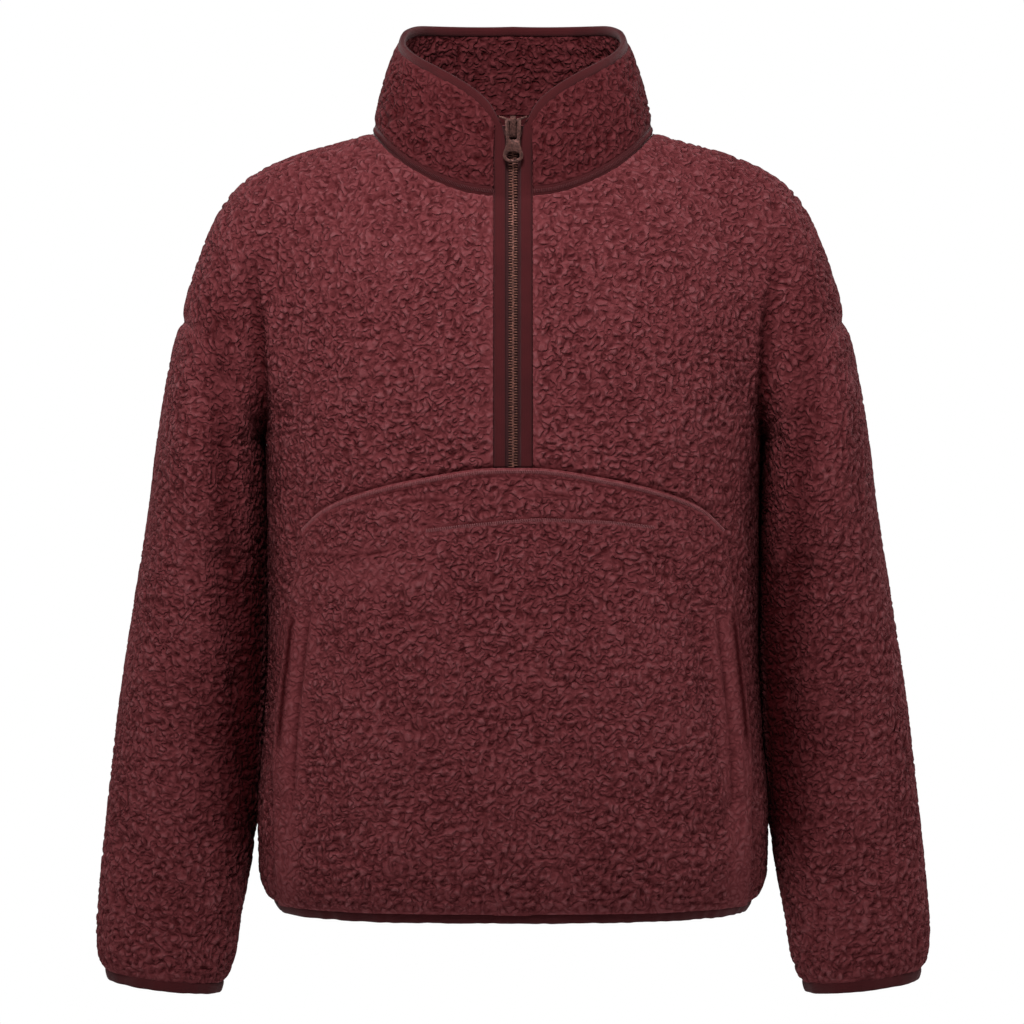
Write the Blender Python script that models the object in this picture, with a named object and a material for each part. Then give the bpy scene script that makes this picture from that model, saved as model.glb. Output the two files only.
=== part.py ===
"""Half-zip pullover in sherpa fleece, hollow and filled out as it is when worn.

Frame: +Z up, the front faces -Y, the wearer's left arm is at +X. The origin lies
between the shoulders, at the height where collar and shoulder seams meet. Tables
and sizes are millimetres; a mesh is scaled to metres when it is made.

The cloth is drawn as a cutter sees it from the front: each point has a place
(x, z) in the front view and a half depth there, in front of or behind the plane
of the side seams. Torso and arm each give a half depth, and a soft union of the
two makes the fold between them.
"""
import math

import bmesh
import bpy
import numpy as np

MM = 0.001

# ---------------------------------------------------------------- driving sizes
FLEECE_WALL = 4.0          # sherpa, base knit and both piles
COLLAR_WALL = 5.0          # two layers of fleece, compressed
SEAM_GAP = 0.3             # clear space between two sewn pieces
HEM_HEIGHT = -621.0        # lower edge of the garment
BINDING_WIDTH = 8.0        # folded knit binding at hem and cuffs
BINDING_WALL = 2.4
BINDING_INSET = 0.9        # how far the smooth binding lies below the pile
UNDERARM_HEIGHT = -245.0
SHOULDER_TIP_HEIGHT = -150.0
SHOULDER_TIP_HALF_WIDTH = 264.5
SHOULDER_RADIUS = 48.0     # rounding of the shoulder across its ridge
ARCH_HEIGHT = 62.0         # height over which the arch above the underarm opens
ARCH_DEPTH = 0.8           # share of the arm's depth that it reaches
CREASE_SOFTNESS = 46.0     # rounding of the crease between torso and arm

NECK_HALF_WIDTH = 112.0
NECK_DROP_FRONT = 58.0     # front neck point below the shoulder neck points
NECK_RISE_BACK = 15.0
NECK_BAND_WIDTH = 5.5      # dark tape that covers the neck seam
COLLAR_TOP_HALF_WIDTH = 90.0
COLLAR_TOP_HALF_DEPTH = 72.0
COLLAR_TOP_CENTRE_Y = -8.0
COLLAR_BINDING_WIDTH = 7.0

ZIP_BOTTOM = -268.9
CENTRE_HALF_WIDTH = 15.3   # half the slit, and of the strip of faces below it and down the back
ZIP_BINDING_INNER = 5.8
ZIP_BINDING_OUTER = 15.0
ZIP_TAPE_HALF_WIDTH = 13.0
ZIP_CHAIN_HALF_WIDTH = 4.2

POCKET_WALL = 4.0
POCKET_WALL_AT_HEM = 2.2   # flattened where it is sewn into the hem
POCKET_SLACK = 2.2         # how far the pouch stands off the front at mid height

FRONT_COLUMNS = 13         # faces across half the front
BACK_COLUMNS = 16          # and half the back
POCKET_COLUMNS = 8         # of the front's, covered by the pocket
BACK_NECK_COLUMNS = 6      # of the back's, that end at the neck seam
POCKET_ROWS = 8            # faces from hem to the pocket's top edge
LOWER_ROWS = 10            # faces from hem to underarm
UPPER_ROWS = 14            # faces from underarm to shoulder ridge
NECK_STARTS = 5            # upper row of the front that reaches the neck seam
SLEEVE_ROWS = 15

# Outline of the right half in the front view, from the middle of the neck over
# the shoulder and down the sleeve: x, z
OUTLINE = (
    (0, 52), (60, 24), (112, 0), (180, -20), (207, -33), (222, -45), (234, -61), (246, -86),
    (256, -114), (262.5, -136), (SHOULDER_TIP_HALF_WIDTH, SHOULDER_TIP_HEIGHT), (268.5, -159),
    (276, -191), (286, -254), (291, -296), (306, -390), (317, -466), (325, -540),
    (331, -600), (333.5, -638), (332, -657), (327, -670), (323.5, -680),
)

# Torso sections: height, half width, depth in front, depth behind, squareness
TORSO = (
    (40, 95, 46, 66, 2.3),
    (0, 105, 56, 77, 2.4),
    (-26, 122, 67, 87, 2.5),
    (-45, 148, 77, 94, 2.5),
    (-70, 186, 88, 101, 2.6),
    (-100, 204, 98, 107, 2.8),
    (-150, 205, 108, 112, 3.1),
    (-200, 201, 114, 115, 3.1),
    (-245, 197.5, 117, 117, 3.0),
    (-320, 196, 119, 118, 2.8),
    (-400, 195.5, 120, 118, 2.7),
    (-480, 199, 120, 117, 2.7),
    (-545, 203.5, 118, 116, 2.7),
    (-588, 202.5, 113, 113, 2.7),
    (-606, 197, 109, 110, 2.7),
    (-615, 190, 106, 107, 2.7),
    (-625, 184, 104, 105, 2.7),
)

# Arm sections: height, x of the edge next to the torso, half depth
ARM = (
    (40, 166, 50),
    (-20, 166, 52),
    (-60, 166, 57),
    (-100, 166, 62),
    (-151, 167, 66),
    (-175, 178, 69),
    (-200, 187, 73),
    (-225, 193.8, 77),
    (UNDERARM_HEIGHT, 197.5, 79),
    (-252, 199.4, 79),
    (-262, 200.6, 78.5),
    (-300, 200.5, 76),
    (-390, 199.5, 67),
    (-474, 202.5, 60),
    (-530, 206.5, 56),
    (-573, 209, 53),
    (-600, 213.5, 51),
    (-630, 219, 48.5),
    (-657, 223, 46),
    (-672, 228, 43),
    (-690, 237, 39),
)

# Depth of the side seam plane behind the shoulder neck points: height, y
SIDE_PLANE = ((40, 6), (0, 7), (-94, 12), (-245, 17), (-400, 18), (-600, 13), (-690, 9))

# Armhole seam in the front view, from underarm to shoulder tip: height, x
ARMHOLE = (
    (UNDERARM_HEIGHT, 197.5),
    (-226, 212),
    (-197, 229),
    (-178, 243),
    (-155, 257),
    (SHOULDER_TIP_HEIGHT, SHOULDER_TIP_HALF_WIDTH),
)

# Neck seam: degrees from centre front, height
NECK_SEAM = (
    (0, -NECK_DROP_FRONT), (15, -55), (30, -46.5), (45, -34), (60, -20), (75, -7.2), (90, 0),
    (101, -3), (112, -2.4), (124, 1.5), (138, 7), (156, 12.5), (180, NECK_RISE_BACK),
)

# Free edge of the collar: degrees from centre front, height
COLLAR_TOP = (
    (0, -8), (6, -1), (8.6, 8), (14, 19.5), (24, 31.5), (37, 42.5), (65, 60.5),
    (90, 75), (105, 84), (125, 90), (180, 93),
)

# Sleeve end, lower on the inside than on the outside: x, height
CUFF_OUTER = (324.0, -677.0)
CUFF_INNER = (236.0, -687.0)

# Curved top edge of the pocket on the right half: x, z
POCKET_TOP = ((0, -269), (16, -269.3), (70, -277), (115, -287.5), (146, -300), (165, -317))

# Side edge of the pocket: height, x
POCKET_SIDE = ((-613, 184), (-518, 184), (-384, 172), (-317, 165), (-200, 165))

# Largest folds: x and z where one starts and ends, height above the cloth, half
# width, and 1 for the front, -1 for the back, 0 for both
FOLDS = (
    (-236, -205, -212, -262, -2.6, 12, 0),
    (234, -205, 210, -268, -2.2, 12, 0),
    (-262, -200, -246, -300, 3.0, 15, 0),
    (262, -205, 248, -318, 2.6, 14, 0),
    (-262, -470, -240, -560, -3.0, 13, 0),
    (268, -452, 244, -548, -3.4, 12, 0),
    (-315, -560, -262, -612, -2.4, 11, 0),
    (312, -548, 258, -600, -2.2, 12, 0),
    (112, -345, 168, -540, -3.0, 15, 1),
    (-120, -560, -62, -500, -2.6, 13, 1),
    (-172, -395, -181, -505, 2.4, 10, 1),
    (60, -110, 118, -170, 2.0, 20, 1),
    (-70, -120, -120, -185, 2.2, 20, 1),
    (-150, -120, -95, -225, -2.6, 18, -1),
    (140, -110, 92, -205, -2.4, 18, -1),
    (-110, -430, -150, -560, -2.8, 17, -1),
    (96, -400, 142, -548, -2.6, 16, -1),
)

# Slider and pull tab
SLIDER_TOP = 4.7
SLIDER_LENGTH = 16.5
SLIDER_PLATE = 1.8         # thickness of the front plate
SLIDER_STANDOFF = 0.4      # from the cloth's face to the plate
SLIDER_BACK = 3.2          # how far the core reaches behind the cloth's face
BAIL_HALF_WIDTH = 2.1
PULL_BAR_DROP = 4.0        # hinge axis below the slider's top
PULL_BAR_FORWARD = 2.0     # hinge axis in front of the plate
PULL_WALL = 1.7
PULL_EYE_DROP = 27.0       # centre of the finger hole below the hinge axis
PULL_EYE_HALF_WIDTH = 5.3
PULL_EYE_HALF_HEIGHT = 3.3
PULL_EYE_SIDES = 16
CUT_REACH = 3.0            # how far a cutter reaches past the pull tab's middle

# Right half of the front plate, from the middle of its foot to the dip between
# its wings: x, height above the slider's top
SLIDER_PLATE_OUTLINE = (
    (0, -16.5), (5.3, -16.5), (6.6, -13.5), (5.7, -5), (6.6, -2.6), (11.0, -0.8),
    (11.0, 0.2), (6.6, -0.9), (2.6, -2.4), (0, -2.0),
)

# Core between the plates: x, height above the slider's top
SLIDER_CORE_OUTLINE = ((-3.0, -14.5), (3.0, -14.5), (4.4, -4), (-4.4, -4))

# Bail from the side, outer line up and over and inner line back: distance in
# front of the plate, height above the slider's top
BAIL_OUTLINE = (
    (-0.3, -15.3), (1.6, -15.3), (4.0, -10), (5.2, -6.5), (5.2, -2.0), (3.8, -0.2),
    (2.2, -0.2), (-0.3, -2.2), (-0.3, -3.8), (2.2, -2.0), (3.0, -2.0),
    (3.7, -2.6), (3.7, -6.2), (2.5, -8.8), (1.4, -12.9), (-0.3, -13.3),
)

# Right half of the pull tab, and its slot: x, height above the hinge axis
PULL_OUTLINE = (
    (6.3, 1.0), (6.2, -4), (5.7, -11), (5.5, -16), (5.9, -20), (7.2, -23.5),
    (8.0, -26.5), (7.7, -28.8), (6.3, -30.8), (3.6, -32.1), (0, -32.5),
)
PULL_SLOT_OUTLINE = ((3.0, -0.9), (3.0, -13.4), (1.8, -14.6), (-1.8, -14.6), (-3.0, -13.4), (-3.0, -0.9))

# Colours: name, red, green, blue, roughness, metallic
FINISHES = (
    ("sherpa", 0.150, 0.045, 0.052, 0.95, 0.0),
    ("binding_knit", 0.058, 0.009, 0.014, 0.75, 0.0),
    ("zip_tape", 0.040, 0.007, 0.010, 0.80, 0.0),
    ("antique_brass", 0.180, 0.100, 0.055, 0.45, 1.0),
    ("aged_bronze", 0.120, 0.075, 0.062, 0.48, 1.0),
)


BODY_BOTTOM = HEM_HEIGHT + BINDING_WIDTH + SEAM_GAP


# ------------------------------------------------------------------ small maths
def faired(table, column, at):
    """Read a table's column at any value of its first column, along a fair curve."""
    rows = sorted(table)
    known = np.array([row[0] for row in rows], float)
    value = np.array([row[column] for row in rows], float)
    step = np.diff(known)
    slope = np.diff(value) / step
    tangent = np.zeros_like(value)
    tangent[0] = slope[0]
    tangent[-1] = slope[-1]
    for i in range(1, len(value) - 1):
        if slope[i - 1] * slope[i] > 0:
            before = 2 * step[i] + step[i - 1]
            after = step[i] + 2 * step[i - 1]
            tangent[i] = (before + after) / (before / slope[i - 1] + after / slope[i])
    at = np.clip(np.asarray(at, float), known[0], known[-1])
    index = np.clip(np.searchsorted(known, at) - 1, 0, len(step) - 1)
    width = step[index]
    t = (at - known[index]) / width
    return (value[index] * (1 + 2 * t) * (1 - t) ** 2
            + tangent[index] * width * t * (1 - t) ** 2
            + value[index + 1] * t * t * (3 - 2 * t)
            - tangent[index + 1] * width * t * t * (1 - t))


def eased(t):
    """Rise from 0 to 1 with level ends."""
    t = np.clip(t, 0.0, 1.0)
    return t * t * (3 - 2 * t)


def line_length(points):
    """Distance walked at each point of a line."""
    steps = np.linalg.norm(np.diff(points, axis=0), axis=1)
    return np.concatenate([[0.0], np.cumsum(steps)])


def fair_line(points, count):
    """A fair curve through a few points, as count points at even steps."""
    points = np.array(points, float)
    walked = line_length(points)
    fine = np.linspace(0, walked[-1], count * 8)
    columns = []
    for axis in range(points.shape[1]):
        table = list(zip(walked, points[:, axis]))
        columns.append(faired(table, 1, fine))
    dense = np.stack(columns, axis=1)
    return even_line(dense, count)


def even_line(points, count):
    """The same line as count points at even steps."""
    walked = line_length(points)
    wanted = np.linspace(0, walked[-1], count)
    return np.stack([np.interp(wanted, walked, points[:, axis])
                     for axis in range(points.shape[1])], axis=1)


EDGE = fair_line(OUTLINE, 120)


def inset_from_edge(x, z):
    """Distance of (x, z) inwards from the outline, negative outside it."""
    shape = np.shape(x)
    spot = np.stack([np.ravel(x), np.ravel(z)], axis=1)[:, None, :]
    start = EDGE[:-1][None]
    along = EDGE[1:][None] - start
    t = np.clip(((spot - start) * along).sum(2) / (along ** 2).sum(2), 0, 1)
    away = spot - (start + t[..., None] * along)
    distance = np.linalg.norm(away, axis=2)
    nearest = distance.argmin(axis=1)
    row = np.arange(len(nearest))
    turn = along[0, nearest, 0] * away[row, nearest, 1] - along[0, nearest, 1] * away[row, nearest, 0]
    return np.where(turn <= 0, distance[row, nearest], -distance[row, nearest]).reshape(shape)


def outer_x(z):
    """x of the outline at a height on the arm."""
    arm = EDGE[EDGE[:, 1] < -20]
    return np.interp(-np.asarray(z, float), -arm[:, 1], arm[:, 0])


# ------------------------------------------------------------- form of the body
def side_plane(x, z):
    """y of the plane of the side seams: level in front of the neck, further back at the arms."""
    return faired(SIDE_PLANE, 1, z) * eased((np.abs(x) - 90.0) / 107.0)


def torso_squared(x, z, side):
    """Square of the torso's half depth; side is 1 in front and -1 behind."""
    half_width = faired(TORSO, 1, z)
    depth = faired(TORSO, 2 if side > 0 else 3, z)
    square = faired(TORSO, 4, z)
    rest = 1 - (np.abs(x) / half_width) ** square
    return depth ** 2 * np.sign(rest) * np.abs(rest) ** (2 / square)


def arm_squared(x, z):
    """Square of the half depth of shoulder and arm.

    Above the underarm the inner half of the arm runs on into the torso under a round arch.
    """
    z = np.asarray(z, float)
    level = np.minimum(z, -151.0)
    radius = inset_from_edge(faired(ARM, 1, level), level) / 2
    share = eased((z + 151.0) / 60.0)
    radius = radius * (1 - share) + SHOULDER_RADIUS * share
    from_middle = (inset_from_edge(np.abs(x), z) - radius) / radius
    arch = 1 - np.clip((z - UNDERARM_HEIGHT) / ARCH_HEIGHT, 0, 1)
    drop = np.where(from_middle > 0, 1 - ARCH_DEPTH * (1 - arch ** 2), 1.0)
    return faired(ARM, 2, z) ** 2 * (1 - drop * from_middle ** 2)


def body_squared(x, z, side):
    """Square of the body's half depth: the torso, and above the underarm its soft union with the arm."""
    torso = torso_squared(x, z, side)
    arm = arm_squared(x, z)
    rise = eased((np.asarray(z, float) - UNDERARM_HEIGHT) / ARCH_HEIGHT)
    soft = CREASE_SOFTNESS * rise * np.sqrt(np.maximum(arm, 40.0)) + 1e-6
    overlap = np.maximum(soft - np.abs(torso - arm), 0.0) / soft
    union = np.maximum(torso, arm) + overlap ** 2 * soft / 4
    return np.where(np.asarray(z, float) > UNDERARM_HEIGHT, union, torso)


def fold_height(x, z, side):
    """Height of the large folds at a place of the front view."""
    total = np.zeros(np.shape(x))
    for x1, z1, x2, z2, height, half_width, where in FOLDS:
        run_x = x2 - x1
        run_z = z2 - z1
        t = ((x - x1) * run_x + (z - z1) * run_z) / (run_x ** 2 + run_z ** 2)
        t = np.clip(t, 0, 1)
        away = (x - x1 - t * run_x) ** 2 + (z - z1 - t * run_z) ** 2
        if where == 0 or where == side:
            total = total + height * np.exp(-away / half_width ** 2)
    return total


def on_cloth(squared, x, z, side):
    """Points and outward normals of the cloth at places (x, z) of the front view."""
    def half_depth_squared(at_x, at_z):
        if squared is arm_squared:
            return arm_squared(at_x, at_z)
        return squared(at_x, at_z, side)

    step = 0.4
    half = np.sqrt(np.maximum(half_depth_squared(x, z), 0.0))
    plane = side_plane(x, z)
    grow_x = (half_depth_squared(x + step, z) - half_depth_squared(x - step, z)) / (2 * step)
    grow_z = (half_depth_squared(x, z + step) - half_depth_squared(x, z - step)) / (2 * step)
    lean_x = (side_plane(x + step, z) - side_plane(x - step, z)) / (2 * step)
    lean_z = (side_plane(x, z + step) - side_plane(x, z - step)) / (2 * step)
    away = -side * half
    normal = np.stack([-2 * away * lean_x - grow_x, 2 * away, -2 * away * lean_z - grow_z], axis=-1)
    normal = normal / np.maximum(np.linalg.norm(normal, axis=-1, keepdims=True), 1e-9)
    point = np.stack([x, plane + away, z], axis=-1)
    facing = eased(np.abs(normal[..., 1]) * 1.6 - 0.3)
    point = point + normal * (fold_height(x, z, side) * facing)[..., None]
    return point, normal


def armhole_places(count):
    """Places (x, z) of the armhole seam from underarm to shoulder tip, at even turns round the arm."""
    turn = np.linspace(math.pi, 0, count + 1)
    low = np.full(count + 1, UNDERARM_HEIGHT)
    high = np.full(count + 1, SHOULDER_TIP_HEIGHT)
    for _ in range(40):
        middle = (low + high) / 2
        beyond = arm_x(turn, middle) < faired(ARMHOLE, 1, middle)
        high = np.where(beyond, middle, high)
        low = np.where(beyond, low, middle)
    z = (low + high) / 2
    z[0] = UNDERARM_HEIGHT
    z[-1] = SHOULDER_TIP_HEIGHT
    x = arm_x(turn, z)
    x[0] = faired(ARMHOLE, 1, UNDERARM_HEIGHT)
    return np.stack([x, z], axis=1)


def arm_x(turn, z):
    """x of the arm's surface at a turn round it: 0 outside, pi next to the torso."""
    outside = outer_x(z)
    inside = faired(ARM, 1, z)
    return outside - (outside - inside) * (1 - np.cos(turn)) / 2


def neck_height(turn):
    """Height of the neck seam at a turn from centre front (0) to centre back (pi)."""
    return faired(NECK_SEAM, 1, np.degrees(turn))


def neck_turns(side):
    """Turns of the neck seam where the front's rows or the back's columns meet it, out to the shoulder."""
    fine = np.linspace(math.asin(CENTRE_HALF_WIDTH / NECK_HALF_WIDTH), math.pi / 2, 90)
    if side > 0:
        climb = row_climb()[NECK_STARTS:]
        share = (climb - climb[0]) / (climb[-1] - climb[0])
    else:
        fine = math.pi - fine
        share = np.linspace(0, 1, BACK_NECK_COLUMNS + 1)
    walked = line_length(np.stack([NECK_HALF_WIDTH * np.sin(fine), neck_height(fine)], axis=1))
    return np.interp(share, walked / walked[-1], fine)


def neck_places(side):
    """Places (x, z) of the neck seam at its turns, from the centre strip to the shoulder."""
    turns = neck_turns(side)
    places = np.stack([NECK_HALF_WIDTH * np.sin(turns), neck_height(turns)], axis=1)
    places[0, 0] = CENTRE_HALF_WIDTH
    return places


def row_climb():
    """How far up each upper row lies, 0 at the underarm and 1 at the ridge, closer near the ridge."""
    return np.sin(np.linspace(0, 1, UPPER_ROWS + 1) * math.pi / 2)


def shoulder_places(count):
    """Places of the shoulder seam from the neck point to the armhole, at even steps."""
    ridge = EDGE[(EDGE[:, 0] > NECK_HALF_WIDTH) & (EDGE[:, 1] > SHOULDER_TIP_HEIGHT)]
    ends = np.array([[NECK_HALF_WIDTH, 0.0], [SHOULDER_TIP_HALF_WIDTH, SHOULDER_TIP_HEIGHT]])
    return even_line(np.concatenate([ends[:1], ridge, ends[1:]]), count + 1)


def front_edges():
    """Inner and top edge of the front above the underarm: slit and neck seam, and shoulder seam."""
    neck = neck_places(1)
    share = row_climb()[:NECK_STARTS] / row_climb()[NECK_STARTS]
    z = UNDERARM_HEIGHT + (neck[0, 1] - UNDERARM_HEIGHT) * share
    slit = np.stack([np.full(NECK_STARTS, CENTRE_HALF_WIDTH), z], axis=1)
    return np.concatenate([slit, neck]), shoulder_places(FRONT_COLUMNS)


def back_edges():
    """Inner and top edge of the back above the underarm: centre strip, and neck and shoulder seams."""
    neck = neck_places(-1)
    z = UNDERARM_HEIGHT + (neck[0, 1] - UNDERARM_HEIGHT) * row_climb()
    strip = np.stack([np.full(len(z), CENTRE_HALF_WIDTH), z], axis=1)
    shoulder = shoulder_places(BACK_COLUMNS - BACK_NECK_COLUMNS)
    return strip, np.concatenate([neck, shoulder[1:]])


def level_rows():
    """Places from hem to underarm in level rows, columns from centre strip to side seam."""
    across = np.linspace(0, 1, BACK_COLUMNS + 1)
    spread = np.sin(across * math.pi / 2) * 0.75 + across * 0.25
    levels = BODY_BOTTOM + (UNDERARM_HEIGHT - BODY_BOTTOM) * np.linspace(0, 1, LOWER_ROWS + 1) ** 1.25
    x = CENTRE_HALF_WIDTH + (faired(TORSO, 1, levels)[:, None] - CENTRE_HALF_WIDTH) * spread
    return np.stack([x, np.repeat(levels[:, None], BACK_COLUMNS + 1, axis=1)], axis=-1)


def pocket_rows():
    """Places from hem to underarm whose lines follow the side and top edges of the pocket."""
    inside = np.linspace(0, 1, POCKET_COLUMNS + 1)
    beyond = np.linspace(0, 1, FRONT_COLUMNS - POCKET_COLUMNS + 1)[1:]
    beyond = np.sin(beyond * math.pi / 2)
    top_x = CENTRE_HALF_WIDTH + (POCKET_TOP[-1][0] - CENTRE_HALF_WIDTH) * inside
    top_z = faired(POCKET_TOP, 1, top_x)
    top_z = np.concatenate([top_z, np.full(len(beyond), POCKET_TOP[-1][1])])
    up = (np.linspace(0, 1, POCKET_ROWS + 1) ** 1.25)[:, None]
    z = BODY_BOTTOM + (top_z - BODY_BOTTOM) * up
    above = np.linspace(0, 1, LOWER_ROWS - POCKET_ROWS + 1)[1:, None]
    z = np.concatenate([z, top_z + (UNDERARM_HEIGHT - top_z) * above])
    edge = faired(POCKET_SIDE, 1, z)
    half_width = faired(TORSO, 1, z)
    x = CENTRE_HALF_WIDTH + (edge[:, :POCKET_COLUMNS + 1] - CENTRE_HALF_WIDTH) * inside
    start = edge[:, POCKET_COLUMNS + 1:]
    outside = start + (half_width[:, POCKET_COLUMNS + 1:] - start) * beyond
    return np.stack([np.concatenate([x, outside], axis=1), z], axis=-1)


def half_panel_places(side):
    """Grid of places (x, z) of half a body panel: rows from hem to ridge, columns outwards.

    Above the underarm it is a patch between inner edge, armhole, lower rows and top edge.
    """
    lower = pocket_rows() if side > 0 else level_rows()
    inner, top = front_edges() if side > 0 else back_edges()
    outer = armhole_places(UPPER_ROWS)
    base = lower[-1]
    u = np.linspace(0, 1, len(base))[None, :, None]
    v = row_climb()[:, None, None]
    patch = (inner[:, None] * (1 - u) + outer[:, None] * u + base[None] * (1 - v) + top[None] * v
             - base[0] * (1 - u) * (1 - v) - base[-1] * u * (1 - v)
             - top[0] * (1 - u) * v - top[-1] * u * v)
    return np.concatenate([lower, patch[1:]])


# --------------------------------------------------------------- making solids
def finish(name):
    """The named finish as a material, made when it is first asked for."""
    if name in bpy.data.materials:
        return bpy.data.materials[name]
    _, red, green, blue, roughness, metallic = next(row for row in FINISHES if row[0] == name)
    material = bpy.data.materials.new(name)
    material.use_nodes = True
    shader = material.node_tree.nodes["Principled BSDF"]
    shader.inputs["Base Color"].default_value = (red, green, blue, 1.0)
    shader.inputs["Roughness"].default_value = roughness
    shader.inputs["Metallic"].default_value = metallic
    return material


def add_solid(name, vertices, faces, finish_name, smooth=True):
    """Make a closed body from millimetre points, with its faces turned outwards."""
    mesh = bpy.data.meshes.new(name)
    mesh.from_pydata([tuple(float(c) * MM for c in vertex) for vertex in vertices], [], faces)
    work = bmesh.new()
    work.from_mesh(mesh)
    bmesh.ops.remove_doubles(work, verts=work.verts, dist=1e-6)
    bmesh.ops.dissolve_degenerate(work, edges=work.edges, dist=1e-7)
    bmesh.ops.recalc_face_normals(work, faces=work.faces)
    work.to_mesh(mesh)
    work.free()
    if smooth:
        mesh.shade_smooth()
        mesh.set_sharp_from_angle(angle=math.radians(50))
    mesh.materials.append(finish(finish_name))
    piece = bpy.data.objects.new(name, mesh)
    bpy.context.scene.collection.objects.link(piece)
    return piece


def thicken(name, points, normals, inset, wall, finish_name, ring=False, skip=None, plane=None):
    """Make a wall from a grid of cloth points: its outer skin lies inset below them.

    ring joins the last column to the first. skip(row, column) leaves a face out.
    plane(points) returns the points kept on the piece's own side of a seam.
    Faces are split along the same diagonal in each piece, so that pieces made from
    the same points lie flat on each other.
    """
    rows, columns = points.shape[:2]
    outer = points - normals * inset
    inner = points - normals * (inset + wall)
    if plane is not None:
        outer = plane(outer)
        inner = plane(inner)
    vertices = np.concatenate([outer.reshape(-1, 3), inner.reshape(-1, 3)])
    depth = rows * columns
    last = columns if ring else columns - 1
    faces = []
    edges = {}
    for row in range(rows - 1):
        for column in range(last):
            if skip is not None and skip(row, column):
                continue
            after = (column + 1) % columns
            corners = (row * columns + column, row * columns + after,
                       (row + 1) * columns + after, (row + 1) * columns + column)
            for triangle in (corners[:3], (corners[0], corners[2], corners[3])):
                faces.append(triangle)
                faces.append(tuple(depth + corner for corner in reversed(triangle)))
            for start, end in zip(corners, corners[1:] + corners[:1]):
                key = (min(start, end), max(start, end))
                edges[key] = None if key in edges else (start, end)
    for edge in edges.values():
        if edge is not None:
            low, high = sorted(edge)
            faces.append((low, high, high + depth))
            faces.append((low, high + depth, low + depth))
    used = sorted({corner for face in faces for corner in face})
    number = {corner: index for index, corner in enumerate(used)}
    faces = [tuple(number[corner] for corner in face) for face in faces]
    return add_solid(name, vertices[used], faces, finish_name)


def both_halves(squared, places, side):
    """Points and normals of a grid of places and of its mirror image, from -X to +X.

    The folds differ between the halves, so each half is worked out in its own place.
    """
    x = np.concatenate([-places[:, ::-1, 0], places[..., 0]], axis=1)
    z = np.concatenate([places[:, ::-1, 1], places[..., 1]], axis=1)
    return on_cloth(squared, x, z, side)


def kept_in_front(points):
    """Points moved to the front side of the side seam plane, half a seam gap clear of it."""
    limit = side_plane(points[..., 0], points[..., 2]) - SEAM_GAP / 2
    points = points.copy()
    points[..., 1] = np.minimum(points[..., 1], limit)
    return points


def kept_behind(points):
    """Points moved to the back side of the side seam plane, half a seam gap clear of it."""
    limit = side_plane(points[..., 0], points[..., 2]) + SEAM_GAP / 2
    points = points.copy()
    points[..., 1] = np.maximum(points[..., 1], limit)
    return points


# ------------------------------------------------------------- pieces of cloth
def make_front():
    """Front, cut in one piece, with the slit for the half zip."""
    points, normals = both_halves(body_squared, half_panel_places(1), 1)

    def in_slit(row, column):
        return column == FRONT_COLUMNS and row >= POCKET_ROWS

    thicken("front", points, normals, 0, FLEECE_WALL, "sherpa", skip=in_slit, plane=kept_in_front)


def make_back():
    """Back, cut in one piece, higher at the neck than the front."""
    points, normals = both_halves(body_squared, half_panel_places(-1), -1)
    thicken("back", points, normals, 0, FLEECE_WALL, "sherpa", plane=kept_behind)


def cuff_height(x):
    """Height of the sleeve's lower edge."""
    slope = (CUFF_OUTER[1] - CUFF_INNER[1]) / (CUFF_OUTER[0] - CUFF_INNER[0])
    return CUFF_INNER[1] + slope * (np.abs(x) - CUFF_INNER[0])


def sleeve_grid(arm_side, rows):
    """Rings of a sleeve from the armhole seam to the top of its cuff binding."""
    seam = armhole_places(UPPER_ROWS)
    turn = np.linspace(math.pi, 0, UPPER_ROWS + 1)
    share = np.linspace(0, 1, rows + 1)[:, None]
    bottom = cuff_height(arm_x(turn, -680.0)) + BINDING_WIDTH + SEAM_GAP
    z = seam[:, 1] + (bottom - seam[:, 1]) * share
    x = arm_side * arm_x(turn[None], z)
    x[0] = arm_side * seam[:, 0]
    halves = []
    for side in (1, -1):
        points, normals = on_cloth(arm_squared, x, z, side)
        points[0], normals[0] = on_cloth(body_squared, x[0], z[0], side)
        points = points + np.array([arm_side * SEAM_GAP, 0, 0])
        points[0] = points[0] - np.array([0, 0, SEAM_GAP])
        halves.append((points, normals))
    (front, front_normal), (back, back_normal) = halves
    points = np.concatenate([front, back[:, -2:0:-1]], axis=1)
    normals = np.concatenate([front_normal, back_normal[:, -2:0:-1]], axis=1)
    return points, normals


def make_sleeves():
    """Two sleeves, each one tube from armhole to binding, and their cuff bindings."""
    for word, arm_side in (("left", 1), ("right", -1)):
        points, normals = sleeve_grid(arm_side, SLEEVE_ROWS)
        thicken("sleeve_" + word, points, normals, 0, FLEECE_WALL, "sherpa", ring=True)
        last = points[-1]
        lower = last.copy()
        lower[:, 0] -= arm_side * 2.2 * (np.abs(last[:, 0]) - 280.0) / 48.0
        lower[:, 2] -= BINDING_WIDTH
        last = last - np.array([0, 0, SEAM_GAP])
        band = np.stack([last, lower - np.array([0, 0, SEAM_GAP])])
        ring_normals = np.stack([normals[-1], normals[-1]])
        thicken("cuff_binding_" + word, band, ring_normals, BINDING_INSET, BINDING_WALL,
                "binding_knit", ring=True)


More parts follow.
